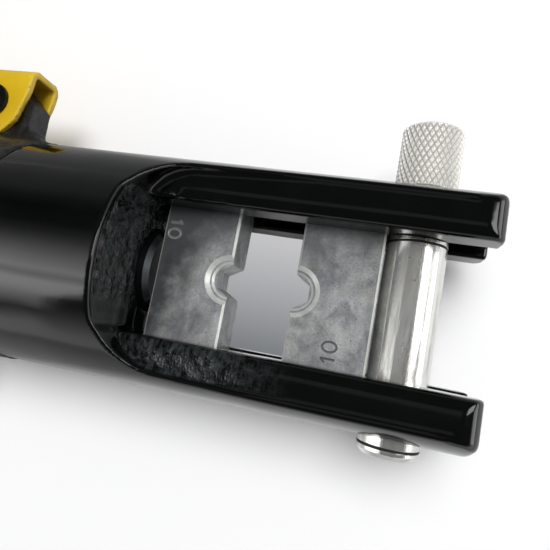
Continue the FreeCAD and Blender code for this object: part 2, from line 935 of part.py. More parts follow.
def pin_clips(radius, x, y):
    clips = []
    for side in (1, -1):
        inner_z = side * (channel_half_width + guide_clearance)
        outer_z = inner_z + side * clip_thickness
        low = min(inner_z, outer_z)
        high = max(inner_z, outer_z)
        ring = cylinder_z(clip_radius, x, y, low, high)
        ring = ring.cut(cylinder_z(radius - clip_groove_depth + seat_clearance, x, y, low, high))
        mouth = block(x - clip_mouth / 2, x + clip_mouth / 2, y - clip_radius - 1, y, low, high)
        clips.append(ring.cut(mouth))
    return Part.makeCompound(clips)


def pivot_pin():
    return clipped_pin(pivot_pin_radius, pivot_x, pivot_y)


def pivot_clips():
    return pin_clips(pivot_pin_radius, pivot_x, pivot_y)


def link_pin():
    return clipped_pin(link_pin_radius, plunger_x, link_rest_y)


def link_clips():
    return pin_clips(link_pin_radius, plunger_x, link_rest_y)


def channel_side(top_drop):
    # Side view of the channel's plates; top_drop lowers its top line.
    top = channel_top_y - top_drop
    end_rise = (slope_x - channel_end_x) * slope
    low_angle = math.radians(-nose_angle)
    mid_angle = (low_angle - math.pi / 2) / 2
    nose_end = (pivot_x + nose_radius * math.cos(low_angle), pivot_y + nose_radius * math.sin(low_angle))
    nose_mid = (pivot_x + nose_radius * math.cos(mid_angle), pivot_y + nose_radius * math.sin(mid_angle))
    boss_x = plate_boss_radius * 0.914
    boss_y = link_rest_y - plate_boss_radius * 0.406
    deep = 2 * handle_tube_radius - 1
    steps = [
        (slope_x, top),
        (channel_end_x, top + end_rise),
        (channel_end_x, channel_top_y + end_rise - deep),
        (plunger_x - boss_x, boss_y),
        ((plunger_x, link_rest_y - plate_boss_radius), (plunger_x + boss_x, boss_y)),
        (plunger_x + pad_front - 0.6, plate_flat_y),
        (pivot_x, plate_flat_y),
        (nose_mid, nose_end),
    ]
    return (pivot_x + channel_front, top), steps


def channel_plan(half_narrow, half_wide, front_x, end_x, y0, y1):
    steps = [
        (flare_x, half_narrow),
        (wide_x, half_wide),
        (end_x, half_wide),
        (end_x, -half_wide),
        (wide_x, -half_wide),
        (flare_x, -half_narrow),
        (front_x, -half_narrow),
    ]
    return prism_y((front_x, half_narrow), steps, y0, y1)


def handle_channel():
    start, steps = channel_side(0)
    side = prism_z(start, steps, -big, big)
    plan = channel_plan(channel_half_width, wide_half_width, big, channel_end_x, 0, big)
    solid = side.common(plan)
    top_edges = []
    for edge in solid.Edges:
        first = edge.Vertexes[0].Point
        last = edge.Vertexes[-1].Point
        if on_top_corner(first) and on_top_corner(last) and abs(first.x - last.x) > 1:
            top_edges.append(edge)
    solid = solid.makeFillet(channel_bend, top_edges)
    inner_top = channel_top_y - channel_wall
    inner_side = prism_z(
        (big, -big),
        [
            (big, inner_top),
            (slope_x, inner_top),
            (channel_end_x - 1, inner_top + (slope_x - channel_end_x + 1) * slope),
            (channel_end_x - 1, -big),
        ],
        -big, big,
    )
    inner_plan = channel_plan(channel_inner, wide_inner, big, channel_end_x - 1, -big, big)
    solid = solid.cut(inner_side.common(inner_plan))
    pivot_hole = cylinder_z(pivot_pin_radius + running_clearance, pivot_x, pivot_y, -big, big)
    solid = solid.cut([pivot_hole, link_slot()])
    rivet_holes = []
    for x, y in rivet_places():
        rivet_holes.append(cylinder_z(rivet_radius + seat_clearance, x, y, -big, big))
    return solid.cut(rivet_holes)


def on_top_corner(point):
    rise = max(0.0, slope_x - point.x) * slope
    return abs(point.y - channel_top_y - rise) < 0.01 and abs(point.z) > channel_half_width - 0.01


def link_slot():
    # Slot along the pump arm, as long as the link pin's shift plus its clearance.
    angle = math.radians(rest_angle)
    half = link_pin_radius + slot_clearance
    near = arm_reach - slot_clearance / 2
    far = arm_reach / math.cos(angle) + slot_clearance / 2
    ends = []
    for reach in (near, far):
        x = pivot_x - reach * math.cos(angle)
        y = pivot_y - reach * math.sin(angle)
        ends.append(cylinder_z(half, x, y, -big, big))
    bridge = block(-far, -near, -half, half, -big, big)
    bridge.rotate(Vector(0, 0, 0), axis_z, rest_angle)
    bridge.translate(Vector(pivot_x, pivot_y, 0))
    return ends[0].fuse(ends[1]).fuse(bridge)


def handle_axis_y(x):
    # Height of the sloping handle tube's centre line.
    base = channel_top_y - channel_wall - handle_tube_radius / math.cos(math.radians(handle_slope))
    return base - guide_clearance + (slope_x - x) * slope


def along_handle(radius, x0, x1):
    # Round bar on the sloping centre line, from x0 towards smaller x1.
    start = Vector(x0, handle_axis_y(x0), 0)
    end = Vector(x1, handle_axis_y(x1), 0)
    return Part.makeCylinder(radius, start.distanceToPoint(end), start, end - start)


def rivet_places():
    places = []
    for number in range(2):
        x = channel_end_x + rivet_inset + number * rivet_spacing
        places.append((x, handle_axis_y(x)))
    return places


def tube_start_x():
    return channel_end_x + handle_tube_lap


def tube_finish_x():
    return tube_start_x() - handle_tube_length


def handle_tube():
    start = tube_start_x()
    end = tube_finish_x()
    tube = along_handle(handle_tube_radius, start, end)
    tube = tube.cut(along_handle(handle_tube_radius - handle_tube_wall, start + 1, end - 1))
    holes = []
    for x, y in rivet_places():
        holes.append(cylinder_z(rivet_radius + seat_clearance, x, y, -big, big))
    return tube.cut(holes)


def handle_rivets():
    rivets = []
    for x, y in rivet_places():
        shank = cylinder_z(rivet_radius, x, y, -wide_half_width, wide_half_width)
        for side in (1, -1):
            base = Vector(x, y, side * wide_half_width)
            head = Part.makeCone(rivet_head_radius, rivet_radius, rivet_head_height, base, axis_z * side)
            shank = shank.fuse(head)
        rivets.append(shank)
    return Part.makeCompound(rivets)


def handle_grip():
    end = tube_finish_x()
    start = end + handle_grip_length
    sleeve = along_handle(handle_grip_radius, start, end)
    rims = []
    for edge in sleeve.Edges:
        if edge.BoundBox.ZLength > 2 * handle_grip_radius - 1 and edge.BoundBox.XLength < 5:
            rims.append(edge)
    sleeve = sleeve.makeChamfer(handle_grip_bevel, rims)
    return sleeve.cut(along_handle(handle_tube_radius + seat_clearance, start + 1, end - 1))


def handle_end_plug():
    end = tube_finish_x()
    inner = handle_tube_radius - handle_tube_wall - seat_clearance
    shank = along_handle(inner, end + handle_plug_length, end)
    rim = along_handle(handle_tube_radius, end, end - handle_plug_rim)
    return shank.fuse(rim).removeSplitter()


def reservoir_tube():
    return tube_x(tube_radius, tube_bore, tube_end_x, block_rear_x)


def oil_bladder():
    # Rubber bag: a neck pushed over the nipple, a straight body and a blunt tapered end.
    neck_inner = nipple_radius + seat_clearance
    neck_outer = neck_inner + bladder_wall
    front = spigot_end_x - 0.4
    neck_end = front - bladder_neck_length
    rear = tube_end_x + bladder_end_gap
    outer = bladder_radius
    inner = bladder_radius - bladder_wall
    shoulder = neck_end - (outer - neck_outer) - 2
    taper = rear + bladder_taper
    return turned_x(
        (front, neck_inner),
        [
            (front, neck_outer),
            (neck_end, neck_outer),
            (shoulder, outer),
            (taper, outer),
            (rear, outer / 2),
            (rear, 0),
            (rear + bladder_wall, 0),
            (rear + bladder_wall, inner / 2),
            (taper, inner),
            (shoulder, inner),
            (neck_end - 1, neck_inner),
        ],
    )


def bladder_clamp():
    inner = nipple_radius + seat_clearance + bladder_wall + seat_clearance
    middle = spigot_end_x - 0.4 - bladder_neck_length / 2
    return tube_x(inner + clamp_thickness, inner, middle - clamp_width / 2, middle + clamp_width / 2)


def oil_strainer():
    cup = cylinder_x(strainer_radius, nipple_end_x - strainer_length, nipple_end_x)
    return cup.cut(cylinder_x(strainer_radius - 1, nipple_end_x - strainer_length + 1, nipple_end_x))


def end_cap():
    cap_radius = tube_radius + end_cap_proud
    cap_end = tube_end_x - end_cap_length
    cap = turned_x(
        (tube_end_x + end_cap_spigot, 0),
        [
            (tube_end_x + end_cap_spigot, tube_bore - seat_clearance),
            (tube_end_x, tube_bore - seat_clearance),
            (tube_end_x, cap_radius),
            (cap_end + end_cap_bevel, cap_radius),
            (cap_end, cap_radius - end_cap_bevel),
            (cap_end, 0),
        ],
    )
    hole = cylinder_x(filler_radius + seat_clearance, cap_end - 1, tube_end_x + end_cap_spigot + 1)
    return cap.cut(hole)


def filler_plug():
    start = Vector(tube_end_x - end_cap_length + filler_length, 0, 0)
    return socket_screw(filler_radius, filler_length, start, Vector(-1, 0, 0))


def fixed_grip():
    # Rubber sleeve turned with finger grooves between plain ends.
    rear = tube_end_x + grip_end_gap
    front = rear + grip_length
    bore = tube_radius + seat_clearance
    floor = grip_radius - grip_groove_depth
    steps = [(rear, grip_radius - grip_bevel), (rear + grip_bevel, grip_radius)]
    count = int((grip_length - 2 * grip_plain_end) / grip_groove_pitch)
    margin = (grip_length - count * grip_groove_pitch) / 2
    for number in range(count):
        middle = rear + margin + (number + 0.5) * grip_groove_pitch
        half_floor = grip_groove_floor / 2
        half_mouth = half_floor + grip_groove_depth * grip_groove_lean
        steps.append((middle - half_mouth, grip_radius))
        steps.append((middle - half_floor, floor))
        steps.append((middle + half_floor, floor))
        steps.append((middle + half_mouth, grip_radius))
    steps.append((front - grip_bevel, grip_radius))
    steps.append((front, grip_radius - grip_bevel))
    steps.append((front, bore))
    return turned_x((rear, bore), steps)


nodes = {
    "head_body": head_body,
    "fixed_die": fixed_die,
    "moving_die": moving_die,
    "rod_wiper": rod_wiper,
    "head_seal": head_seal,
    "ram": ram,
    "die_magnet": die_magnet,
    "piston_seal": piston_seal,
    "backup_ring": backup_ring,
    "return_spring": return_spring,
    "lock_pin": lock_pin,
    "lock_pin_knob": lock_pin_knob,
    "lock_pin_rings": lock_pin_rings,
    "pump_body": pump_body,
    "lock_grub_screw": lock_grub_screw,
    "discharge_poppet": discharge_poppet,
    "discharge_spring": discharge_spring,
    "discharge_plug": discharge_plug,
    "suction_poppet": suction_poppet,
    "suction_plug": suction_plug,
    "relief_poppet": relief_poppet,
    "relief_spring": relief_spring,
    "relief_screw": relief_screw,
    "release_stem": release_stem,
    "release_knob": release_knob,
    "release_seal": release_seal,
    "gland_nut": gland_nut,
    "gland_seal": gland_seal,
    "pump_plunger": pump_plunger,
    "link_pin": link_pin,
    "link_clips": link_clips,
    "pivot_pin": pivot_pin,
    "pivot_clips": pivot_clips,
    "handle_channel": handle_channel,
    "handle_tube": handle_tube,
    "handle_rivets": handle_rivets,
    "handle_grip": handle_grip,
    "handle_end_plug": handle_end_plug,
    "reservoir_tube": reservoir_tube,
    "oil_bladder": oil_bladder,
    "bladder_clamp": bladder_clamp,
    "oil_strainer": oil_strainer,
    "end_cap": end_cap,
    "filler_plug": filler_plug,
    "fixed_grip": fixed_grip,
}

os.makedirs("parts", exist_ok=True)
for name, make in nodes.items():
    shape = make()
    if not shape.isValid():
        print(name, "is not valid")
    for solid in shape.Solids:
        if solid.Volume <= 0:
            print(name, "has a solid turned inside out")
    print(name, len(shape.Solids), "solids", round(shape.Volume, 1))
    shape.exportStep("parts/" + name + ".step")
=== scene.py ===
import json
import math

import bmesh
import bpy
import numpy as np
from mathutils import Matrix, Vector


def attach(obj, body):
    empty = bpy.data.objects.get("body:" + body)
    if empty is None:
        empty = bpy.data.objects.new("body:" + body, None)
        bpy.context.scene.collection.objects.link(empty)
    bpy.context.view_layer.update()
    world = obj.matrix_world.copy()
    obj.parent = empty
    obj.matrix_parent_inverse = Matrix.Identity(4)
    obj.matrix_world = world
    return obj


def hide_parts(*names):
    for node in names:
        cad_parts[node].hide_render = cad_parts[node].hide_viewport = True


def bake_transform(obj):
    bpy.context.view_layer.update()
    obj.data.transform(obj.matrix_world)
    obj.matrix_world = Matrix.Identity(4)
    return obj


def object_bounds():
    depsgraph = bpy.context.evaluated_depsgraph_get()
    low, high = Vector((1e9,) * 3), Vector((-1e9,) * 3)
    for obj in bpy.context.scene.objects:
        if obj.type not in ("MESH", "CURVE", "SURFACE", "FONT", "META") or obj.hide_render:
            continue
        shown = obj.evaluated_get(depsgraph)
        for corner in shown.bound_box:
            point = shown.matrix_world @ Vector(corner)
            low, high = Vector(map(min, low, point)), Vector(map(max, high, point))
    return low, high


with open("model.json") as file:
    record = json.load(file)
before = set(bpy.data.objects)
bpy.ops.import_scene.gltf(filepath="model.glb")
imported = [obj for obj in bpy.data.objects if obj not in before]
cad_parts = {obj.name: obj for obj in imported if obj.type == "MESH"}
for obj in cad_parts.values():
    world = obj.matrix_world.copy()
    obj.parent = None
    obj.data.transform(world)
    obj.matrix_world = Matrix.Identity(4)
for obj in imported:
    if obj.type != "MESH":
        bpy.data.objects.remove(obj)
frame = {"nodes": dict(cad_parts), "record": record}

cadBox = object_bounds()
mm = 0.001
nodes = frame["nodes"]
print("frame loaded,", len(nodes), "nodes")


# Shader maths: a Wire stands for one socket, and arithmetic on it adds Math nodes.
class Wire:
    def __init__(self, finish, socket):
        self.finish = finish
        self.socket = socket

    def join(self, operation, first, second):
        made = self.finish.add("ShaderNodeMath", {"operation": operation}, {0: first, 1: second})
        return made["Value"]

    def __add__(self, other):
        return self.join("ADD", self, other)

    def __radd__(self, other):
        return self.join("ADD", other, self)

    def __sub__(self, other):
        return self.join("SUBTRACT", self, other)

    def __rsub__(self, other):
        return self.join("SUBTRACT", other, self)

    def __mul__(self, other):
        return self.join("MULTIPLY", self, other)

    def __rmul__(self, other):
        return self.join("MULTIPLY", other, self)

    def __truediv__(self, other):
        return self.join("DIVIDE", self, other)

    def __rtruediv__(self, other):
        return self.join("DIVIDE", other, self)

    def atMost(self, other):
        return self.join("MINIMUM", self, other)

    def bearingFrom(self, other):
        # the angle in degrees of the line that runs by self up and by other along
        return self.join("ARCTAN2", self, other) * (180 / math.pi)


class Outputs:
    def __init__(self, finish, node):
        self.finish = finish
        self.node = node

    def __getitem__(self, name):
        return Wire(self.finish, self.node.outputs[name])


class Finish:
    # One material, or the world. add() makes any node from its type, its settings and its inputs.
    def __init__(self, name, world=False, **fixed):
        self.material = bpy.data.worlds.new(name) if world else bpy.data.materials.new(name)
        self.material.use_nodes = True
        self.tree = self.material.node_tree
        self.shader = self.tree.nodes["Background" if world else "Principled BSDF"]
        for socketName, value in fixed.items():
            self.shader.inputs[socketName.replace("_", " ")].default_value = value

    def add(self, kind, settings=None, inputs=None):
        node = self.tree.nodes.new(kind)
        for key, value in (settings or {}).items():
            if key == "stops":
                self.setStops(node.color_ramp, value)
            else:
                setattr(node, key, value)
        for key, value in (inputs or {}).items():
            self.plug(node.inputs[key], value)
        return Outputs(self, node)

    def setStops(self, ramp, stops):
        while len(ramp.elements) < len(stops):
            ramp.elements.new(0.5)
        for element, (place, colour) in zip(ramp.elements, stops):
            element.position = place
            element.color = (*colour, 1.0)

    def plug(self, socket, value):
        if isinstance(value, Wire):
            self.tree.links.new(value.socket, socket)
        elif isinstance(value, (tuple, list)) and len(value) == 3 and socket.type == "RGBA":
            socket.default_value = (*value, 1.0)
        else:
            socket.default_value = value

    def feed(self, **links):
        for socketName, value in links.items():
            self.plug(self.shader.inputs[socketName.replace("_", " ")], value)

    def place(self, scale=(1, 1, 1), turn=(0, 0, 0)):
        where = self.add("ShaderNodeTexCoord")["Object"]
        return self.add("ShaderNodeMapping", None, {"Vector": where, "Scale": scale, "Rotation": turn})["Vector"]

    def axes(self, vector):
        return self.add("ShaderNodeSeparateXYZ", None, {"Vector": vector})

    def noise(self, size, detail=3.0, rough=0.5, stretch=(1, 1, 1), turn=(0, 0, 0), warp=0.0):
        # size is the width of one lump in millimetres
        return self.add("ShaderNodeTexNoise", None, {
            "Vector": self.place(stretch, turn), "Scale": 1 / (size * mm), "Detail": detail,
            "Roughness": rough, "Distortion": warp,
        })["Fac"]

    def cells(self, size):
        # distance to the nearest of scattered points, size millimetres apart
        return self.add("ShaderNodeTexVoronoi", None, {
            "Vector": self.place(), "Scale": 1 / (size * mm),
        })["Distance"]

    def painted(self, name):
        # a number carried by the mesh's own points
        return self.add("ShaderNodeAttribute", {"attribute_name": name})["Fac"]

    def span(self, value, low, high, start=0.0, end=1.0):
        # start at low and below, end at high and above, straight between them
        return self.add("ShaderNodeMapRange", None, {
            "Value": value, "From Min": low, "From Max": high, "To Min": start, "To Max": end,
        })["Result"]

    def mix(self, share, first, second):
        # first where share is 0, second where it is 1
        node = self.add("ShaderNodeMix", {"data_type": "RGBA"}).node
        self.plug(node.inputs["Factor"], share)
        self.plug(node.inputs[6], first)
        self.plug(node.inputs[7], second)
        return Wire(self, node.outputs[2])

    def bump(self, height, depth):
        # depth is the height of a full step in millimetres
        return self.add("ShaderNodeBump", None, {
            "Height": height, "Distance": depth * mm, "Strength": 1.0,
        })["Normal"]


# In each finish, look holds its colours and the noises as (lump width, detail, roughness, ...).
def blackEnamel():
    # Stoved gloss black: orange peel outside, lumpy and grainy where the casting is left rough, with paler specks
    # there on the high grain that are painted glints.
    look = {
        "black": (0.0010, 0.0016, 0.0012), "dust": (0.0028, 0.0034, 0.0032), "cast": (0.034, 0.042, 0.044),
        "peel": (3.2, 2.0, 0.45), "grain": (0.7, 3.0, 0.6, (1.0, 0.4, 0.4)), "lumps": (2.0, 2.0, 0.55),
        "wear": (9, 4.0, 0.6), "haze": (16, 3.0),
        "peelHeight": 0.035, "lumpHeight": 1.6, "grainHeight": 0.5, "depth": 0.35, "gloss": 0.07, "dull": 0.17,
    }
    f = Finish("blackEnamel", IOR=1.5)
    rough = f.painted("rough")
    peel, grain, lump = f.noise(*look["peel"]), f.noise(*look["grain"]), f.noise(*look["lumps"])
    height = peel * (look["peelHeight"] - rough * 0.01)
    height = height + rough * (grain * look["grainHeight"] + lump * look["lumpHeight"])
    wear = f.span(f.noise(*look["wear"]), 0.5, 0.75)
    # painted glints: paler specks on the high grain and lumps of the rough casting
    speck = rough * f.span(lump * 0.5 + grain * 0.5, 0.42, 0.66)
    haze = f.span(f.noise(*look["haze"]), 0.3, 0.7, look["gloss"], look["gloss"] + 0.06)
    f.feed(
        Base_Color=f.mix(speck, f.mix(wear * 0.5, look["black"], look["dust"]), look["cast"]),
        Roughness=haze + rough * f.span(grain, 0.3, 0.7, 0.02, look["dull"] - look["gloss"]),
        Normal=f.bump(height, look["depth"]),
    )
    return f.material


def castBlack():
    # Thin satin black over a sand casting: dusty on the high grain, dark in its pits.
    look = {
        "deep": (0.004, 0.005, 0.0052), "pale": (0.011, 0.012, 0.0125), "scuffed": (0.036, 0.04, 0.042),
        "grain": (0.55, 4.0, 0.62), "lumps": (2.6, 3.0, 0.55), "pit": 0.9, "scuff": (1.6, 5.0, 0.7, (1, 0.5, 1)),
        "cloud": (8, 3.0), "depth": 0.5,
    }
    f = Finish("castBlack", IOR=1.5)
    grain, lump = f.noise(*look["grain"]), f.noise(*look["lumps"])
    pits = f.span(f.cells(look["pit"]), 0.1, 0.45)
    scuff = f.span(f.noise(*look["scuff"]), 0.52, 0.75)
    tone = f.mix(f.span(f.noise(*look["cloud"]), 0.35, 0.65), look["deep"], look["pale"])
    f.feed(
        Base_Color=f.mix(scuff * pits, tone, look["scuffed"]),
        Roughness=f.span(grain, 0.3, 0.7, 0.26, 0.5),
        Normal=f.bump(grain * 0.4 + lump * 0.8 + pits * 0.2, look["depth"]),
    )
    return f.material


def yellowEnamel():
    # Thick gloss yellow on folded sheet, a little orange peel, paler at the edges with a painted highlight, and wear
    # at the edges.
    look = {
        "deep": (0.58, 0.37, 0.009), "light": (0.66, 0.44, 0.016), "edge": (0.86, 0.63, 0.08),
        "bare": (0.2, 0.17, 0.11), "cloud": (14, 3.0), "chips": (1.3, 4.0, 0.65), "haze": (5, 3.0),
        "peel": (2.4, 2.0, 0.5), "depth": 0.06,
    }
    f = Finish("yellowEnamel", IOR=1.5)
    edge = f.painted("edge")
    worn = f.span(f.noise(*look["chips"]), 0.6, 0.66) * edge
    yellow = f.mix(f.span(f.noise(*look["cloud"]), 0.35, 0.65), look["deep"], look["light"])
    f.feed(
        # edges: paler yellow, a painted highlight, then bare where the paint is chipped
        Base_Color=f.mix(worn, f.mix(edge * 0.35, yellow, look["edge"]), look["bare"]),
        Roughness=f.span(f.noise(*look["haze"]), 0.3, 0.7, 0.16, 0.3) + worn * 0.25,
        Normal=f.bump(f.noise(*look["peel"]) * 0.8 - worn * 0.6, look["depth"]),
    )
    return f.material


def zincPlate():
    # Blue-grey passivated zinc: cloudy, finely pitted and ground, and darker along one side, towards +Y, with painted
    # shade.
    # The moving die carries painted shade by X - 0.35 * Y, its faces that slope are paler with a painted highlight,
    # and stamped figures are darker, but paler than the painted shade round them, a painted highlight.
    look = {
        "cool": (0.3, 0.32, 0.335), "bright": (0.8, 0.82, 0.82), "warm": (0.56, 0.54, 0.44), "pit": (0.1, 0.105, 0.11),
        "smoke": (0.13, 0.145, 0.155), "shade": (0.06, 0.068, 0.072), "slope": (0.84, 0.84, 0.79),
        "stamp": (0.26, 0.265, 0.27), "speck": (0.24, 0.25, 0.26), "oil": (0.13, 0.14, 0.145),
        "clouds": (8.5, 4.0, 0.62, (1, 1, 1), (0, 0, 0), 0.7), "specks": (0.5, 3.0, 0.75), "pits": (0.36, 2.0, 0.6),
        "lines": (0.45, 2.0, 0.5, (1, 0.05, 1)), "bands": (2.4, 3.0, 0.55, (1, 0.13, 1)),
        "patches": (5.5, 4.0, 0.62, (1, 1, 1), (0, 0, 0.5), 0.5), "leanWander": (5, 3.0, 0.6),
        "oilWander": (6, 3.0, 0.6), "warmth": (4.2, 4.0, 0.6),
        "lean": 0.35, "shadeFrom": (-0.0265, -0.019), "oilFrom": (0.001, 0.014), "depth": 0.022,
    }
    f = Finish("zincPlate")
    clouds, specks, lines = f.noise(*look["clouds"]), f.noise(*look["specks"]), f.noise(*look["lines"])
    pits = f.span(f.noise(*look["pits"]), 0.63, 0.7)
    bands = f.span(f.noise(*look["bands"]), 0.35, 0.65)
    spot = f.axes(f.place())
    patches = f.span(f.noise(*look["patches"]), 0.47, 0.64) * 0.55
    # painted shade over the moving die, darkest where X - 0.35 * Y is low
    lean = spot["X"] - spot["Y"] * look["lean"] + (f.noise(*look["leanWander"]) - 0.5) * 0.012
    shaded = f.span(lean, *look["shadeFrom"], 0.9, 0.0)
    upward = f.axes(f.add("ShaderNodeNewGeometry")["Normal"])["Z"]
    # painted highlight: faces that slope, the rim chamfers and the sinks, are paler and less metallic
    slopeGlint = f.span(upward, 0.35, 0.6) * f.span(upward, 0.86, 0.96, 1.0, 0.0)
    # painted shade: faces that face up grow darker towards +Y, the upper arm's side
    topShade = f.span(spot["Y"] + (f.noise(*look["oilWander"]) - 0.5) * 0.02, *look["oilFrom"]) * f.span(upward, 0.3, 0.8)
    cool = f.mix(f.span(clouds, 0.36, 0.62) * 0.6 + bands * 0.4, look["cool"], look["bright"])
    warm = f.mix(f.span(f.noise(*look["warmth"]), 0.5, 0.7) * 0.5, cool, look["warm"])
    # smoky patches, with the painted shade of the moving die mixed over them
    worn = f.mix(shaded, f.mix(patches, warm, look["smoke"]), look["shade"])
    speckled = f.mix(f.span(specks, 0.35, 0.65) * 0.4 * (1 - shaded), worn, look["speck"])
    # the painted shade towards +Y laid over the speckled zinc
    topShaded = f.mix(topShade * 0.72, speckled, look["oil"])
    # the painted highlight on sloping faces, over the pitted zinc
    plain = f.mix(slopeGlint * 0.5, f.mix(pits * 0.75, topShaded, look["pit"]), look["slope"])
    # stamped figures: darker than the zinc, but paler than the moving die's painted shade, a painted highlight
    stampGlintInShade = f.mix(shaded, look["pit"], look["stamp"])
    f.feed(
        Base_Color=f.mix(f.painted("sunk") * 0.85, plain, stampGlintInShade),
        Metallic=0.66 - slopeGlint * 0.25,
        Roughness=f.span(clouds * 0.35 + specks * 0.4 + bands * 0.25, 0.3, 0.7, 0.34, 0.5),
        Normal=f.bump(specks * 0.6 + lines * 0.4 - pits * 0.8, look["depth"]),
    )
    return f.material


def hardChrome():
    # Mirror chrome with drawn scratches along the bar, dull blotches, darker streaks along it that are a painted
    # reflection, and a few rust pits.
    look = {
        "clear": (0.8, 0.81, 0.78), "clouded": (0.66, 0.65, 0.61), "streak": (0.34, 0.32, 0.28),
        "rust": (0.1, 0.09, 0.08), "lines": (0.5, 3.0, 0.6, (1, 0.04, 1)), "pits": (0.8, 3.0, 0.6),
        "blotch": (5, 4.0, 0.65, (1, 0.4, 1)), "streaks": (1.7, 4.0, 0.6, (1, 0.11, 1)), "depth": 0.045,
    }
    f = Finish("hardChrome", Metallic=0.84)
    lines, blotch = f.noise(*look["lines"]), f.noise(*look["blotch"])
    pits = f.span(f.noise(*look["pits"]), 0.69, 0.74)
    # painted reflection: darker brownish streaks along the bar, a little rougher too
    streaks = f.span(f.noise(*look["streaks"]), 0.53, 0.68)
    plated = f.mix(f.span(blotch, 0.4, 0.65), look["clear"], look["clouded"])
    f.feed(
        Base_Color=f.mix(pits, f.mix(streaks * 0.6, plated, look["streak"]), look["rust"]),
        Roughness=f.span(blotch, 0.35, 0.7, 0.11, 0.24) + pits * 0.4 + streaks * 0.12,
        Normal=f.bump(lines * 0.6 + blotch * 0.9 - pits, look["depth"]),
    )
    return f.material


def knurlNickel():
    # Satin nickel, darker in the grooves of the knurl than on its points.
    look = {
        "dull": (0.88, 0.86, 0.81), "clean": (0.97, 0.96, 0.92), "dirt": (0.2, 0.19, 0.165),
        "cloud": (3, 3.0), "grain": (0.25, 3.0), "depth": 0.012,
    }
    f = Finish("knurlNickel", Metallic=0.45)
    high = f.painted("height")
    # darker towards the bottom of the knurl's grooves
    dirt = f.span(high, 0.0, 0.45, 1.0, 0.0)
    f.feed(
        Base_Color=f.mix(dirt * 0.85, f.mix(f.noise(*look["cloud"]), look["dull"], look["clean"]), look["dirt"]),
        Roughness=f.span(high, 0.2, 0.95, 0.46, 0.26),
        Normal=f.bump(f.noise(*look["grain"]), look["depth"]),
    )
    return f.material


def groundSteel(name, colour, low, high, along=(1, 1, 1)):
    # Bare or plated metal with fine grinding lines: roughness from low to high, colour down to darker.
    look = {"lines": (0.35, 3.0, 0.6), "cloud": (6, 4.0, 0.6), "darker": 0.62, "depth": 0.012}
    f = Finish(name, Metallic=1.0)
    lines, cloud = f.noise(*look["lines"], along), f.noise(*look["cloud"])
    darker = tuple(c * look["darker"] for c in colour)
    f.feed(
        Base_Color=f.mix(f.span(cloud, 0.4, 0.7) * 0.6, colour, darker),
        Roughness=f.span(lines * 0.5 + cloud * 0.5, 0.3, 0.7, low, high),
        Normal=f.bump(lines, look["depth"]),
    )
    return f.material


def mouldedRubber(name, colour, size):
    # Matt rubber or plastic with a fine grain and paler dust in patches.
    look = {"dust": (9, 5.0, 0.65), "depth": 0.05}
    f = Finish(name, IOR=1.5)
    grain = f.noise(size, 3.0, 0.6)
    dust = f.span(f.noise(*look["dust"]), 0.45, 0.75)
    lighter = tuple(c * 2.2 + 0.01 for c in colour)
    f.feed(
        Base_Color=f.mix(dust * 0.6, colour, lighter),
        Roughness=f.span(grain, 0.3, 0.7, 0.5, 0.68),
        Normal=f.bump(grain, look["depth"]),
    )
    return f.material


def satinBlack():
    # Satin black paint, rubbed grey in patches.
    look = {
        "black": (0.008, 0.008, 0.009), "rubbed": (0.026, 0.026, 0.027), "grain": (1.1, 3.0, 0.5),
        "wear": (7, 5.0, 0.7), "depth": 0.05,
    }
    f = Finish("satinBlack", IOR=1.5)
    grain = f.noise(*look["grain"])
    wear = f.span(f.noise(*look["wear"]), 0.5, 0.75)
    f.feed(
        Base_Color=f.mix(wear * 0.5, look["black"], look["rubbed"]),
        Roughness=f.span(grain, 0.3, 0.7, 0.2, 0.32),
        Normal=f.bump(grain, look["depth"]),
    )
    return f.material


ground = (0.06, 1, 1)  # grinding lines that run along X
finishes = {
    "black_gloss_paint": blackEnamel(),
    "black_casting": castBlack(),
    "zinc_steel": zincPlate(),
    "chrome_pin": hardChrome(),
    "knurled_steel": knurlNickel(),
    "ground_steel": groundSteel("groundSteel", (0.42, 0.43, 0.44), 0.2, 0.36, ground),
    "ram_steel": groundSteel("ramSteel", (0.07, 0.076, 0.08), 0.34, 0.46, ground),
    "spring_steel": groundSteel("springSteel", (0.3, 0.31, 0.33), 0.25, 0.4),
    "dark_steel": groundSteel("blackOxide", (0.035, 0.035, 0.037), 0.3, 0.45),
    "yellow_paint": yellowEnamel(),
    "black_paint": satinBlack(),
    "black_rubber": mouldedRubber("gripRubber", (0.016, 0.016, 0.017), 0.7),
    "seal_rubber": mouldedRubber("sealRubber", (0.01, 0.01, 0.011), 0.3),
    "seal_plastic": mouldedRubber("sealPlastic", (0.7, 0.69, 0.65), 0.4),
    "brass": groundSteel("turnedBrass", (0.72, 0.5, 0.2), 0.2, 0.34),
    "magnet": groundSteel("nickelPlate", (0.62, 0.6, 0.57), 0.12, 0.25),
}
slotOf = {part["node"]: part["material_slot"] for part in frame["record"]["subparts"]}
for nodeName, node in nodes.items():
    node.data.materials.clear()
    node.data.materials.append(finishes["ram_steel" if nodeName == "ram" else slotOf[nodeName]])
print("finishes made,", len(finishes))


def linkNew(name, data):
    made = bpy.data.objects.new(name, data)
    bpy.context.scene.collection.objects.link(made)
    return made


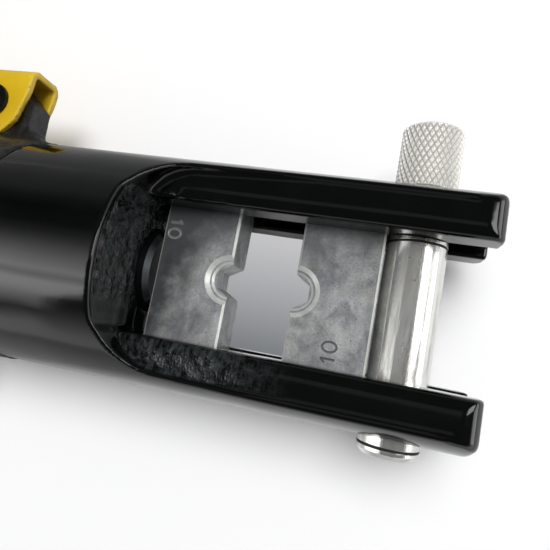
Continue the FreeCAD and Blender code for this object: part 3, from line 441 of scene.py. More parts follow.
def addPiece(name, points, faces, body, slotName, replaced=(), paint=None, sharp=None):
    # points in millimetres, faces as rows of four point numbers
    mesh = bpy.data.meshes.new(name)
    mesh.vertices.add(len(points))
    mesh.vertices.foreach_set("co", (np.asarray(points) * mm).astype(np.float32).ravel())
    mesh.loops.add(faces.size)
    mesh.loops.foreach_set("vertex_index", faces.astype(np.int32).ravel())
    mesh.polygons.add(len(faces))
    mesh.polygons.foreach_set("loop_start", np.arange(0, faces.size, faces.shape[1], dtype=np.int32))
    mesh.polygons.foreach_set("use_smooth", np.ones(len(faces), bool))
    for key, values in (paint or {}).items():
        layer = mesh.attributes.new(key, "FLOAT", "POINT")
        layer.data.foreach_set("value", np.asarray(values, np.float32))
    mesh.update(calc_edges=True)
    mesh.validate()
    if sharp is not None:
        mesh.set_sharp_from_angle(angle=math.radians(sharp))
    mesh.materials.append(finishes[slotName])
    piece = linkNew(name, mesh)
    if body:
        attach(piece, body)
    if replaced:
        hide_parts(*replaced)
    return piece


def softMax(first, second, radius):
    # The larger of two distances, with the corner between them rounded to the radius.
    over = np.sqrt(np.maximum(first + radius, 0) ** 2 + np.maximum(second + radius, 0) ** 2)
    return np.minimum(-radius, np.maximum(first, second)) + over


def softMin(first, second, radius):
    # The smaller of two distances, with its corner filled to the radius.
    return -softMax(-first, -second, radius)


def apart(a, b):
    # How far a place is from another that differs by a one way and by b the other.
    return np.sqrt(a ** 2 + b ** 2)


def rise(value, low, high):
    # 0 at low, 1 at high, straight between them.
    return np.clip((value - low) / (high - low), 0, 1)


def between(value, start, full, last, end):
    # Rises from 0 at start to 1 at full, and falls from 1 at last to 0 at end.
    return rise(value, start, full) * rise(value, end, last)


def lumps(x, y, z, size, seed, stretch=(1, 1, 1)):
    # Smooth random heights from -1 to 1: a lattice of random numbers, blended with s*s*(3-2s).
    lattice = np.random.default_rng(seed).uniform(-1, 1, (64, 64, 64)).astype(np.float32)
    parts = []
    for value, squeeze in zip((x, y, z), stretch):
        whole = np.floor(value * squeeze / size)
        share = value * squeeze / size - whole
        parts.append((whole.astype(int) % 64, (whole.astype(int) + 1) % 64, share * share * (3 - 2 * share)))
    (x0, x1, sx), (y0, y1, sy), (z0, z1, sz) = parts
    low, high = (
        (lattice[x0, y0, level] * (1 - sx) + lattice[x1, y0, level] * sx) * (1 - sy)
        + (lattice[x0, y1, level] * (1 - sx) + lattice[x1, y1, level] * sx) * sy
        for level in (z0, z1))
    return low * (1 - sz) + high * sz


def steps(*stretches):
    # Grid lines from (start, end, spacing) stretches laid end to end.
    lines = [np.linspace(a, b, max(2, int(round((b - a) / gap)) + 1)) for a, b, gap in stretches]
    return np.unique(np.round(np.concatenate(lines), 5))


def carve(field, xs, ys, zs):
    # The surface where field(x, y, z) is 0, as one point in each grid cell that it crosses:
    # the mean of its crossings of the cell's edges, then pulled along the slope onto the surface.
    axes = (xs, ys, zs)
    heights = field(xs[:, None, None], ys[None, :, None], zs[None, None, :])
    heights = np.ascontiguousarray(heights + np.zeros((len(xs), len(ys), len(zs))))
    cells = tuple(n - 1 for n in heights.shape)
    total = np.zeros((np.prod(cells), 3))
    count = np.zeros(np.prod(cells))
    crossings = []
    for a in range(3):
        b, c = (a + 1) % 3, (a + 2) % 3
        low = np.take(heights, range(heights.shape[a] - 1), axis=a)
        high = np.take(heights, range(1, heights.shape[a]), axis=a)
        index = np.array(np.nonzero((low < 0) != (high < 0)))
        f0, f1 = low[tuple(index)], high[tuple(index)]
        share = f0 / (f0 - f1)
        spot = np.stack([axes[k][index[k]] for k in range(3)], 1)
        spot[:, a] += share * (axes[a][index[a] + 1] - axes[a][index[a]])
        around = []
        for db, dc in ((-1, -1), (0, -1), (0, 0), (-1, 0)):
            cell = index.copy()
            cell[b] += db
            cell[c] += dc
            flat = np.ravel_multi_index(cell, cells)
            np.add.at(total, flat, spot)
            np.add.at(count, flat, 1)
            around.append(flat)
        quad = np.stack(around, 1)
        quad[f0 > 0] = quad[f0 > 0][:, ::-1]
        crossings.append(quad)
    used = count > 0
    number = np.cumsum(used) - 1
    points = total[used] / count[used][:, None]
    faces = number[np.concatenate(crossings)]
    for _ in range(3):
        points = pullOnto(field, points)
    return points, faces


def pullOnto(field, points, probe=0.03, reach=0.25, flattest=0.05):
    # Moves each point by height * slope / (slope * slope), and by no more than reach.
    height = field(*points.T)
    slope = np.stack([
        field(*(points + np.eye(3)[k] * probe).T) - field(*(points - np.eye(3)[k] * probe).T)
        for k in range(3)
    ], 1) / (2 * probe)
    steep = np.maximum((slope ** 2).sum(1), flattest)
    move = slope * (height / steep)[:, None]
    length = np.sqrt((move ** 2).sum(1))[:, None]
    return points - move * np.minimum(1, reach / np.maximum(length, 1e-9))


def carvedPiece(name, field, grid, body, slotName, node, paint=None):
    points, faces = carve(field, *(steps(*grid[axis]) for axis in "xyz"))
    print(name, "has", len(points), "points and", 2 * len(faces), "triangles")
    return addPiece(name, points, faces, body, slotName, [node], paint and paint(*points.T))


def roundedPath(corners, turns, lead=1.15):
    # A line of (along, radius) points whose corners are arcs; each corner is (along, radius, rounding).
    # An arc's centre is on the corner's bisector, rounding / sin(half the angle) away, and a point
    # stands a little before and after it.
    made = []
    for number, (s, r, rounding) in enumerate(corners):
        here = np.array((s, r), float)
        if rounding <= 0 or number in (0, len(corners) - 1):
            made.append(here[None])
            continue
        back = np.array(corners[number - 1][:2], float) - here
        ahead = np.array(corners[number + 1][:2], float) - here
        back, ahead = back / np.linalg.norm(back), ahead / np.linalg.norm(ahead)
        half = math.acos(np.clip(back @ ahead, -1, 1)) / 2
        reach = rounding / math.tan(half)
        centre = here + (back + ahead) / np.linalg.norm(back + ahead) * rounding / math.sin(half)
        t = np.linspace(0, 1, turns + 1)[:, None]
        start, end = here + back * reach - centre, here + ahead * reach - centre
        span = math.pi - 2 * half
        arc = (np.sin((1 - t) * span) * start + np.sin(t * span) * end) / math.sin(span)
        made.append(here + back * reach * lead)
        made.append(centre + arc)
        made.append(here + ahead * reach * lead)
    return np.concatenate([np.atleast_2d(m) for m in made])


def ringFaces(count, around, closed=False):
    # Four-cornered faces between count rings of points; closed joins the last ring to the first.
    ring = np.arange(count * around).reshape(count, around)
    if closed:
        ring = np.concatenate([ring, ring[:1]])
    near, far = ring[:-1], ring[1:]
    return np.stack([near, np.roll(near, -1, 1), np.roll(far, -1, 1), far], -1).reshape(-1, 4)


def sweepRound(profile, segments, start, direction, relief=None, closed=False):
    # A profile of (along, radius) turned about a line: start + along * line + radius * (cos u + sin v).
    line = np.array(direction, float)
    line /= np.linalg.norm(line)
    side = np.cross(line, (0, 0, 1) if abs(line[2]) < 0.9 else (1, 0, 0))
    side /= np.linalg.norm(side)
    other = np.cross(line, side)
    angle = np.linspace(0, 2 * math.pi, segments, endpoint=False)
    s = np.broadcast_to(profile[:, :1], (len(profile), segments))
    r = np.broadcast_to(profile[:, 1:], (len(profile), segments))
    if relief is not None:
        r = r + relief(s, angle[None, :] + 0 * s, r)
    points = (
        np.array(start, float)
        + s[..., None] * line
        + r[..., None] * (np.cos(angle)[None, :, None] * side + np.sin(angle)[None, :, None] * other)
    )
    return points.reshape(-1, 3), ringFaces(len(profile), segments, closed)


def turnedPiece(name, corners, start, direction, body, slotName, replaced=(), segments=96,
                relief=None, closed=False, paint=None, turns=5, crease=32):
    # A rounded path turned about a line; edges sharper than the crease angle stay sharp.
    points, faces = sweepRound(roundedPath(corners, turns), segments, start, direction, relief, closed)
    piece = addPiece(name, points, faces, body, slotName, replaced, paint and paint(points), crease)
    tidyPoles(piece)
    return piece


def tidyPoles(piece):
    # Points of a profile on the axis fall together; they are merged, and faces turned outwards.
    work = bmesh.new()
    work.from_mesh(piece.data)
    bmesh.ops.remove_doubles(work, verts=work.verts, dist=1e-7)
    bmesh.ops.dissolve_degenerate(work, edges=work.edges, dist=1e-8)
    bmesh.ops.recalc_face_normals(work, faces=work.faces)
    work.to_mesh(piece.data)
    work.free()


# The head: one casting with a cylinder at the back and a fork with two arms in front.
# The window is the recess that both floors of the fork lie in, the slot lets the dies through,
# and the groove guides their edges.
head = {
    "radius": 25.0, "tip": 37.2, "tipRound": 2.0, "endRound": 4.2, "endFlat": 0.8, "endLean": 0.4, "endJoin": 0.6,
    "windowHalf": 20.4, "windowEnd": -32.3, "windowCorner": 10.5, "floor": 12.5, "floorFillet": 1.6,
    "lipFade": 1.25, "lipAlong": (-24, 2), "rimRound": 0.8, "rimBack": 0.2, "rimRun": 3,
    "bevelStart": 15.8, "bevelSlope": 0.42, "bevelRear": -24.5, "bevelEdge": 0.35,
    "slotHalf": 13.8, "slotCorner": 1.6, "lipRound": 0.8,
    "grooveHalf": 16.6, "grooveHeight": 5.2, "grooveCorner": 0.3, "grooveEdge": 0.45,
    "rodHole": 9.05, "rodEdge": 0.4, "bore": 17.0, "boreEnd": -45.0,
    "rear": -86.0, "spigot": 22.0, "spigotEnd": -61.2, "spigotFillet": 0.2,
    "pinX": 22.6, "pinHole": 6.05, "pinEdge": 0.35, "landRadius": 6.6, "landHeight": 24.5,
}
# What the skin carries: heights, lump sizes and, for the rough places, start, full, last and end.
headSkin = {
    "wave": 0.05, "waveSize": 7.0, "waveRear": -60,
    "castLump": 0.08, "lumpSize": 1.3, "lumpStretch": (1, 0.5, 0.6), "grainSize": 0.7, "grainStretch": (1, 0.6, 0.6),
    "wallAlong": (-0.8, -0.3, 0.6, 1.2), "wallHeight": (-11, -5, 14.5, 17.5), "wallRadius": (23.7, 22.7),
    "floorAlong": (-30.5, -29, -12, 4), "floorHeight": (-20.4, -19.9, -14.4, -13.6),
    "floorDepth": (10, 11.5, 13, 13.4), "rimFade": (23.2, 22.4),
    "runs": 0.22, "runSize": 1.5, "runStretch": (1, 0.7, 0.5),
    "upperRun": ((-27.5, 18.4, 12.6), (7, 2.2, 3)), "lowerRun": ((-30.2, -15.8, 13.5), (4, 5, 9)),
    "lipRun": ((14.4, 12.0), (0.5, 1.0)), "lipShare": 0.55, "lipRear": -31, "lipAlong": (-2, -10),
}
headGrid = {
    "x": [(-87, -62, 1.6), (-62, -36, 1.0), (-36, -31, 0.36), (-31, 30, 0.66), (30, 38, 0.5)],
    "y": [(-25.8, 25.8, 0.46)],
    "z": [(-25.8, 25.8, 0.46)],
}


def roughMask(x, y, z):
    # 1 where the casting is left rough: the end wall and the inner end of the lower floor.
    k = headSkin
    deep = np.abs(z)
    wall = between(x - head["windowEnd"], *k["wallAlong"]) * between(y, *k["wallHeight"])
    wall = wall * rise(apart(y, z), *k["wallRadius"])
    floor = between(x, *k["floorAlong"]) * between(y, *k["floorHeight"]) * between(deep, *k["floorDepth"])
    return np.maximum(wall, floor)


def mound(away, spread):
    # 1 in the middle, falling as exp(-(sum of away * away / spread)).
    return np.exp(-sum(distance ** 2 / width for distance, width in zip(away, spread)))


def cornerRuns(x, y, z):
    # Runs of thick paint: a mound in both inner corners of the recess, and a ridge along the lips beside it.
    k = headSkin
    deep = np.abs(z)
    upper, lower = (mound((x - px, y - py, deep - pz), spread)
                    for (px, py, pz), spread in (k["upperRun"], k["lowerRun"]))
    (wide, tall), spread = k["lipRun"]
    lip = mound((np.abs(y) - wide, deep - tall), spread) * rise(x, *k["lipAlong"])
    return k["runs"] * np.maximum(np.maximum(upper, lower), k["lipShare"] * lip * (x > k["lipRear"]))


def headField(x, y, z):
    # Distance to the skin, below 0 inside: the cylinder cut off at the tip, with softMax taking away
    # the leaning end faces, window, bevel, slot, groove and bores; waves, runs and lumps are added.
    h, k = head, headSkin
    r = apart(y, z)
    tall, wide = np.abs(z), np.abs(y)
    body = softMax(r - h["radius"], x - h["tip"], h["tipRound"])
    body = np.maximum(body, softMin(r - h["spigot"], h["spigotEnd"] - x, h["spigotFillet"]))
    body = np.maximum(body, h["rear"] - x)
    tangent = h["tip"] - h["endRound"] - h["endFlat"]
    lean = h["endLean"] * np.maximum(0, tangent - x)
    endFace = softMax(x - h["tip"], tall - h["floor"] - lean, h["endRound"])
    body = softMax(body, endFace, h["endJoin"])
    half = h["windowHalf"] + h["lipFade"] * rise(x, *h["lipAlong"])
    plan = softMax(h["windowEnd"] - x, wide - half, h["windowCorner"])
    window = softMax(plan, h["floor"] - tall, h["floorFillet"])
    rim = h["rimRound"] * np.clip((tangent - h["rimBack"] - x) / h["rimRun"], 0.01, 1)
    body = softMax(body, -window, rim)
    bevel = (tall - h["floor"] + h["bevelSlope"] * (h["bevelStart"] - wide)) / math.hypot(1, h["bevelSlope"])
    bevel = bevel - 3 * np.maximum(0, h["bevelRear"] - x) - 50 * (wide > half)
    body = softMax(body, bevel, h["bevelEdge"])
    slot = softMax(h["windowEnd"] - x, wide - h["slotHalf"], h["slotCorner"])
    body = softMax(body, -slot, h["lipRound"])
    groove = softMax(wide - h["grooveHalf"], tall - h["grooveHeight"], h["grooveCorner"])
    body = softMax(body, -np.maximum(groove, h["windowEnd"] - x), h["grooveEdge"])
    body = softMax(body, -np.maximum(r - h["rodHole"], h["boreEnd"] - x), h["rodEdge"])
    body = np.maximum(body, -np.maximum(r - h["bore"], x - h["boreEnd"]))
    fromPin = apart(x - h["pinX"], z)
    body = softMax(body, h["pinHole"] - fromPin, h["pinEdge"])
    body = np.maximum(body, -np.maximum(fromPin - h["landRadius"], h["landHeight"] - y))
    wave = k["wave"] * lumps(x, y, z, k["waveSize"], 3) * (x > k["waveRear"])
    wave = wave + cornerRuns(x, y, z) * lumps(x, y, z, k["runSize"], 8, k["runStretch"])
    coarse = lumps(x, y, z, k["lumpSize"], 4, k["lumpStretch"])
    fine = lumps(x, y, z, k["grainSize"], 5, k["grainStretch"])
    return body + wave + roughMask(x, y, z) * k["castLump"] * (coarse + 0.5 * fine) * rise(r, *k["rimFade"])


carvedPiece("forkHead", headField, headGrid, "frame", "black_gloss_paint", "head_body",
            lambda x, y, z: {"rough": roughMask(x, y, z)})


# Lock pin, its knurled knob and its rings
pin = {
    "x": 22.6, "radius": 6.0, "bottom": -28.0, "top": 24.5, "chamfer": 0.9, "chamferRound": 0.25, "topRound": 0.1,
    "rings": (13.55, -25.9), "ringWidth": 0.45, "ringDepth": 0.9, "ringRound": 0.3, "ringPlay": 0.02,
    "grooveRim": 0.08, "grooveFloor": 0.05, "segments": 128,
}
knob = {
    "radius": 6.3, "height": 14.5, "dome": 1.6, "neck": 0.12, "footChamfer": (0.15, 0.05),
    "tuck": 0.12, "tuckRun": 0.7, "rows": 30, "depth": 0.52, "pitch": 2.15, "pointFlat": 1.12,
    "fadeIn": 0.2, "fadeOut": 0.6, "domeShare": 0.75, "sideShare": 0.93,
    "sideSteps": 104, "crownSteps": 26, "stepsPerRow": 10,
}


def makePin():
    # A bar with a rounded chamfer at its lower end, a groove for each ring, and the rings themselves.
    p = pin
    floor = p["radius"] - p["ringDepth"]
    corners = [(0, 0, 0), (0, p["radius"] - p["chamfer"], p["chamferRound"]),
               (p["chamfer"], p["radius"], p["chamferRound"])]
    for top in sorted(p["rings"]):
        low, high = top - p["ringWidth"] - p["bottom"], top - p["bottom"]
        corners += [(low, p["radius"], p["grooveRim"]), (low, floor, p["grooveFloor"]),
                    (high, floor, p["grooveFloor"]), (high, p["radius"], p["grooveRim"])]
    length = p["top"] - p["bottom"]
    corners += [(length, p["radius"], p["topRound"]), (length, 0, 0)]
    turnedPiece("lockPin", corners, (p["x"], p["bottom"], 0), (0, 1, 0), "lock_pin", "chrome_pin",
                ["lock_pin"], p["segments"], turns=3)
    for number, top in enumerate(p["rings"]):
        inner, outer, width = floor + p["ringPlay"], p["radius"], p["ringWidth"]
        ring = [(0, inner, 0), (0, outer, p["ringRound"]), (width, outer, p["ringRound"]), (width, inner, 0)]
        turnedPiece("pinRing%d" % (number + 1), ring, (p["x"], top - width, 0), (0, 1, 0), "lock_pin",
                    "seal_rubber", ["lock_pin_rings"], closed=True)


def knurl(s, angle, r):
    # Diamonds: the lower of two ridges that wind up the knob in opposite ways, fading at both ends.
    k = knob
    turn = angle * k["rows"] / (2 * math.pi)
    climb = s / k["pitch"]
    first = np.abs((turn + climb) % 1 - 0.5) * 2
    second = np.abs((turn - climb) % 1 - 0.5) * 2
    ridge = np.minimum(first, second)
    top = k["height"] - k["dome"] * k["domeShare"]
    ends = np.clip((s - k["neck"]) / k["fadeIn"], 0, 1) * np.clip((top - s) / k["fadeOut"], 0, 1)
    onSide = r > k["radius"] * k["sideShare"]
    return -k["depth"] * (1 - np.minimum(ridge * k["pointFlat"], 1)) * ends * onSide


def makeKnob():
    # The knurled side, then a crown that is part of a sphere: radius = (side^2 + dome^2) / (2 * dome).
    p, k = pin, knob
    shoulder = k["height"] - k["dome"]
    side = np.linspace(k["neck"], shoulder, k["sideSteps"])
    crownRadius = (k["radius"] ** 2 + k["dome"] ** 2) / (2 * k["dome"])
    spread = np.linspace(math.asin(k["radius"] / crownRadius), 0, k["crownSteps"])
    crown = np.stack([k["height"] - crownRadius * (1 - np.cos(spread)), crownRadius * np.sin(spread)], 1)
    body = np.stack([side, np.full_like(side, k["radius"])], 1)
    soft = np.minimum(1, (crown[:, 0] - shoulder) / k["tuckRun"])
    crown[:, 1] -= k["tuck"] * (1 - soft)
    along, inward = k["footChamfer"]
    profile = np.concatenate([[(0, 0), (0, p["radius"] - inward), (along, p["radius"])], body, crown])
    points, faces = sweepRound(profile, k["rows"] * k["stepsPerRow"], (p["x"], p["top"], 0), (0, 1, 0), knurl)
    out = np.hypot(points[:, 0] - p["x"], points[:, 2])
    height = np.clip(1 - (k["radius"] - out) / k["depth"], 0, 1)
    height = np.where(points[:, 1] - p["top"] > shoulder, 1.0, height)
    piece = addPiece("pinKnob", points, faces, "lock_pin", "knurled_steel", ["lock_pin_knob"], {"height": height})
    tidyPoles(piece)


makePin()
makeKnob()
print("pin and knob made")


# Dies: a block with bevelled rims and half a hexagon in its front, sunk in two steps, with "10" stamped in.
# A sink is (outer radius, its height, inner radius, its height).
die = {
    "length": 16.4, "halfWidth": 16.4, "faceZ": 5.0, "chamfer": 0.45, "hexHalf": 3.0, "cutReach": 6,
    "sinks": [(5.62, 5.2, 4.35, 4.4), (4.22, 4.6, 3.5, 4.02)], "sinkSegments": 72,
    "stroke": 0.27, "strokeSides": 10, "stampDepth": 0.27, "noughtHalf": (1.4, 1.0), "noughtSteps": 40,
    "oneHalf": 1.45, "oneAway": 2.35, "flag": (0.95, 0.72), "flagStart": (0.08, 0.05), "flagShare": 0.9,
    "stampMiddle": 1.2, "stampReach": 4.2, "sunkFade": 0.12,
    "edgeRound": 0.09, "edgeAngle": 28,
}


def solidOf(name, points, faces):
    mesh = bpy.data.meshes.new(name)
    mesh.from_pydata((points * mm).tolist(), [], faces.tolist())
    return linkNew(name, mesh)


def hullOf(name, points):
    # The tightest closed skin round the points.
    work = bmesh.new()
    for point in points:
        work.verts.new(Vector(point) * mm)
    bmesh.ops.convex_hull(work, input=work.verts)
    bmesh.ops.dissolve_limit(work, angle_limit=0.01, verts=work.verts, edges=work.edges)
    bmesh.ops.recalc_face_normals(work, faces=work.faces)
    mesh = bpy.data.meshes.new(name)
    work.to_mesh(mesh)
    work.free()
    return linkNew(name, mesh)


def cutBy(target, cutters):
    # Takes the cutters out of the target and leaves a plain mesh.
    for cutter in cutters:
        step = target.modifiers.new("cut", "BOOLEAN")
        step.operation = "DIFFERENCE"
        step.solver = "EXACT"
        step.object = cutter
        graph = bpy.context.evaluated_depsgraph_get()
        mesh = bpy.data.meshes.new_from_object(target.evaluated_get(graph))
        target.modifiers.clear()
        target.data = mesh
        bpy.data.objects.remove(cutter)
    return target


def cone(topRadius, lowRadius, topZ, lowZ):
    # Two rings closed by a point each: radius goes from topRadius at topZ to lowRadius at lowZ.
    # Its axis leans a hair, so that no face lies exactly on a face of the block.
    profile = np.array([(0, 0), (0, lowRadius), (topZ - lowZ, topRadius), (topZ - lowZ, 0)], float)
    points, faces = sweepRound(profile, die["sinkSegments"], (0, 0, lowZ), (0, 0.0001, 1))
    made = solidOf("sink", points, faces)
    tidyPoles(made)
    return made


def strokeAlong(name, path, radius, closed):
    # A round rod along a line of points, radius * (cos side + sin up) round each; its ends are flat.
    sides = die["strokeSides"]
    path = np.asarray(path, float)
    ahead = np.roll(path, -1, 0) - np.roll(path, 1, 0) if closed else np.gradient(path, axis=0)
    ahead /= np.linalg.norm(ahead, axis=1)[:, None]
    up = np.array((0, 0, 1.0))
    side = np.cross(ahead, up)
    angle = np.linspace(0, 2 * math.pi, sides, endpoint=False)
    ring = path[:, None] + radius * (np.cos(angle)[None, :, None] * side[:, None] + np.sin(angle)[None, :, None] * up)
    made = solidOf(name, ring.reshape(-1, 3), ringFaces(len(path), sides, closed))
    work = bmesh.new()
    work.from_mesh(made.data)
    if not closed:
        bmesh.ops.holes_fill(work, edges=[e for e in work.edges if e.is_boundary], sides=0)
    bmesh.ops.recalc_face_normals(work, faces=work.faces)
    work.to_mesh(made.data)
    work.free()
    return made


def stamps(label, centre):
    # "10" read along -Y: a ring for the nought, a straight rod and a short leaning one for the one.
    d = die
    z = d["faceZ"] + d["stroke"] - d["stampDepth"]
    t = np.linspace(0, 2 * math.pi, d["noughtSteps"], endpoint=False)
    x, y = centre
    ring = np.stack([x + d["noughtHalf"][0] * np.cos(t), y + d["noughtHalf"][1] * np.sin(t), z + 0 * t], 1)
    oneY = y - d["oneAway"]
    top, low = x - d["oneHalf"], x + d["oneHalf"]
    flagX, flagY = top + d["flag"][0], oneY - d["flag"][1]
    startX, startY = top + d["flagStart"][0], oneY + d["flagStart"][1]
    rod = [(low, oneY, z), (x, oneY, z), (top, oneY, z)]
    flag = [(startX, startY, z), ((top + flagX) / 2, (oneY + flagY) / 2, z), (flagX, flagY, z)]
    return [
        strokeAlong(label + "Nought", ring, d["stroke"], True),
        strokeAlong(label + "One", rod, d["stroke"], False),
        strokeAlong(label + "Flag", flag, d["stroke"] * d["flagShare"], False),
    ]


def makeDie(nodeName, pieceName, body, meetX, centre, turned):
    # Made with its front at X 0; turned half round about Z for the moving die, and put at meetX.
    # The hexagon's corners are hexHalf / cos 30 degrees from its middle.
    d = die
    full = [(0, d["length"]), (-d["halfWidth"], d["halfWidth"])]
    inset = [(low + d["chamfer"], high - d["chamfer"]) for low, high in full]
    block = [(x, y, side * (d["faceZ"] - d["chamfer"])) for x in full[0] for y in full[1] for side in (1, -1)]
    block += [(x, y, side * d["faceZ"]) for x in inset[0] for y in inset[1] for side in (1, -1)]
    solid = hullOf(pieceName, block)
    corner = d["hexHalf"] / math.cos(math.pi / 6)
    notch = [(-1.0, corner + 1 / math.sqrt(3)), (d["hexHalf"], corner / 2)]
    deep = (-d["cutReach"], d["cutReach"])
    cutters = [hullOf("notch", [(x, y * up, z) for x, y in notch for up in (1, -1) for z in deep])]
    for wide, high, narrow, low in d["sinks"]:
        cutters += [cone(wide, narrow, high, low), cone(narrow, wide, -low, -high)]
    cutters += stamps(pieceName, centre)
    mesh = cutBy(solid, cutters).data
    points = np.empty(3 * len(mesh.vertices), np.float32)
    mesh.vertices.foreach_get("co", points)
    points = points.reshape(-1, 3)
    away = np.hypot(points[:, 0] / mm - centre[0], points[:, 1] / mm - centre[1] + d["stampMiddle"])
    sunk = (away < d["stampReach"]) * np.clip((d["faceZ"] - points[:, 2] / mm) / d["sunkFade"], 0, 1)
    if turned:
        points = points * (-1, -1, 1)
    mesh.vertices.foreach_set("co", (points + (meetX * mm, 0, 0)).astype(np.float32).ravel())
    mesh.attributes.new("sunk", "FLOAT", "POINT").data.foreach_set("value", sunk.astype(np.float32))
    mesh.update()
    mesh.materials.clear()
    mesh.materials.append(finishes["zinc_steel"])
    soften = solid.modifiers.new("edges", "BEVEL")
    soften.width = d["edgeRound"] * mm
    soften.segments = 2
    soften.limit_method = "ANGLE"
    soften.angle_limit = math.radians(d["edgeAngle"])
    mesh.set_sharp_from_angle(angle=math.radians(d["edgeAngle"]))
    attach(solid, body)
    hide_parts(nodeName)


makeDie("fixed_die", "dieFixed", "frame", 0.0, (8.85, -9.7), False)
makeDie("moving_die", "dieMoving", "ram", -13.6, (13.9, -8.1), True)
print("dies made")


# Return spring round the ram's rod, made at one length; on the tool it shortens as the ram comes forward
spring = {"rear": -69.85, "front": -45.15, "wire": 1.3, "radius": 13.2, "turns": 4.0, "stepsPerTurn": 48, "sides": 14}


def makeReturnSpring():
    # Helix x = rear + wire + rise * t, y = radius * cos(a), z = radius * sin(a), with a round wire along it.
    s = spring
    t = np.linspace(0, 1, int(s["turns"] * s["stepsPerTurn"]) + 1)
    angle = t * s["turns"] * 2 * math.pi
    reach = s["front"] - s["rear"] - 2 * s["wire"]
    outward = np.stack([0 * t, np.cos(angle), np.sin(angle)], 1)
    path = np.stack([s["rear"] + s["wire"] + reach * t, 0 * t, 0 * t], 1) + s["radius"] * outward
    ahead = np.gradient(path, axis=0)
    ahead /= np.linalg.norm(ahead, axis=1)[:, None]
    across = np.cross(ahead, outward)
    thick = np.full(len(t) + 2, s["wire"])
    thick[[0, -1]] = 0
    rows = np.concatenate([[0], np.arange(len(t)), [len(t) - 1]])
    turn = np.linspace(0, 2 * math.pi, s["sides"], endpoint=False)[None, :, None]
    points = path[rows][:, None] + thick[:, None, None] * (
        np.cos(turn) * outward[rows][:, None] + np.sin(turn) * across[rows][:, None])
    faces = ringFaces(len(rows), s["sides"])
    piece = addPiece("returnSpring", points.reshape(-1, 3), faces, None, "spring_steel", ["return_spring"], None, 60)
    tidyPoles(piece)
    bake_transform(piece)


makeReturnSpring()


# Pump body: a sand casting whose lug runs down into the collar, with bores for what moves in it
casting = {
    "collar": 25.3, "front": -61.2, "frontEdge": 0.35, "collarRear": -97.2, "block": 24.0, "blockJoin": 1.4,
    "rear": -124.0, "rearRound": 2.2, "spigot": 13.98, "spigotEnd": -136.0, "nipple": 8.0, "nippleEnd": -146.0,
    "screwRadius": 22.02, "screwEnd": -86.0,
    "lugHalf": 3.2, "lugEdge": 0.7, "lugFrom": 12, "lugFillet": 4.5, "lugFront": -71.2, "lugBack": -87.8,
    "lugHead": 7.0, "lugStop": 50, "backLean": (30, 0.08), "footTop": 29.5, "footSpread": 0.19, "footBack": 0.4,
    "pivot": (-81.2, 34.2), "pinHole": 2.53, "padY": 17.0, "pad": (-115.2, -91.5), "padCorner": 1.5, "padEdge": 0.5,
    "plungerX": -102.7, "plungerBore": 4.56, "plungerFloor": -7.0, "glandRadius": 7.0, "glandFloor": 9.0,
    "suctionRadius": 3.6, "suctionPlug": -19.0,
    "releaseX": -93.5, "releaseBore": 4.0, "releaseSeat": -11.0,
    "boss": 5.5, "bossEnd": -26.8, "bossFrom": 10, "bossEdge": 0.4, "bossFillet": 1.2,
    "relief": (-92.0, -1.5), "reliefFloor": 6.1, "reliefEdge": 0.3,
    "grubX": -72.2, "grubRadius": 2.52, "grubFloor": 12, "boreEdge": 0.25,
    "cast": 0.2, "castSize": 2.2, "fineSize": 1.1, "fineShare": 0.6,
}
castingGrid = {
    "x": [(-147, -125, 1.2), (-125, -60, 0.6)],
    "y": [(-27.6, 25.8, 0.62), (25.8, 42.6, 0.45)],
    "z": [(-26, -6, 0.7), (-6, 6, 0.45), (6, 26, 0.7)],
}


def lugOutline(x, y):
    # Side view of the lug: a round head, a leaning front and back, and a foot that spreads by the
    # square of the depth below footTop.
    c = casting
    px, py = c["pivot"]
    roundHead = apart(x - px, y - py) - c["lugHead"]
    stop = math.radians(c["lugStop"])
    slant = (x - px) * math.cos(stop) + (y - py) * math.sin(stop) - c["lugHead"]
    foot = np.maximum(0, c["footTop"] - y) ** 2 * c["footSpread"]
    leanFrom, lean = c["backLean"]
    back = c["lugBack"] - x + (leanFrom - y) * lean - foot * c["footBack"]
    web = np.maximum(np.maximum(x - c["lugFront"] - foot, slant), np.maximum(back, y - py))
    nose = np.maximum(np.maximum(x - c["lugFront"], slant), np.maximum(y - py - c["lugHead"], px - x))
    return np.minimum(np.minimum(roundHead, web), nose)


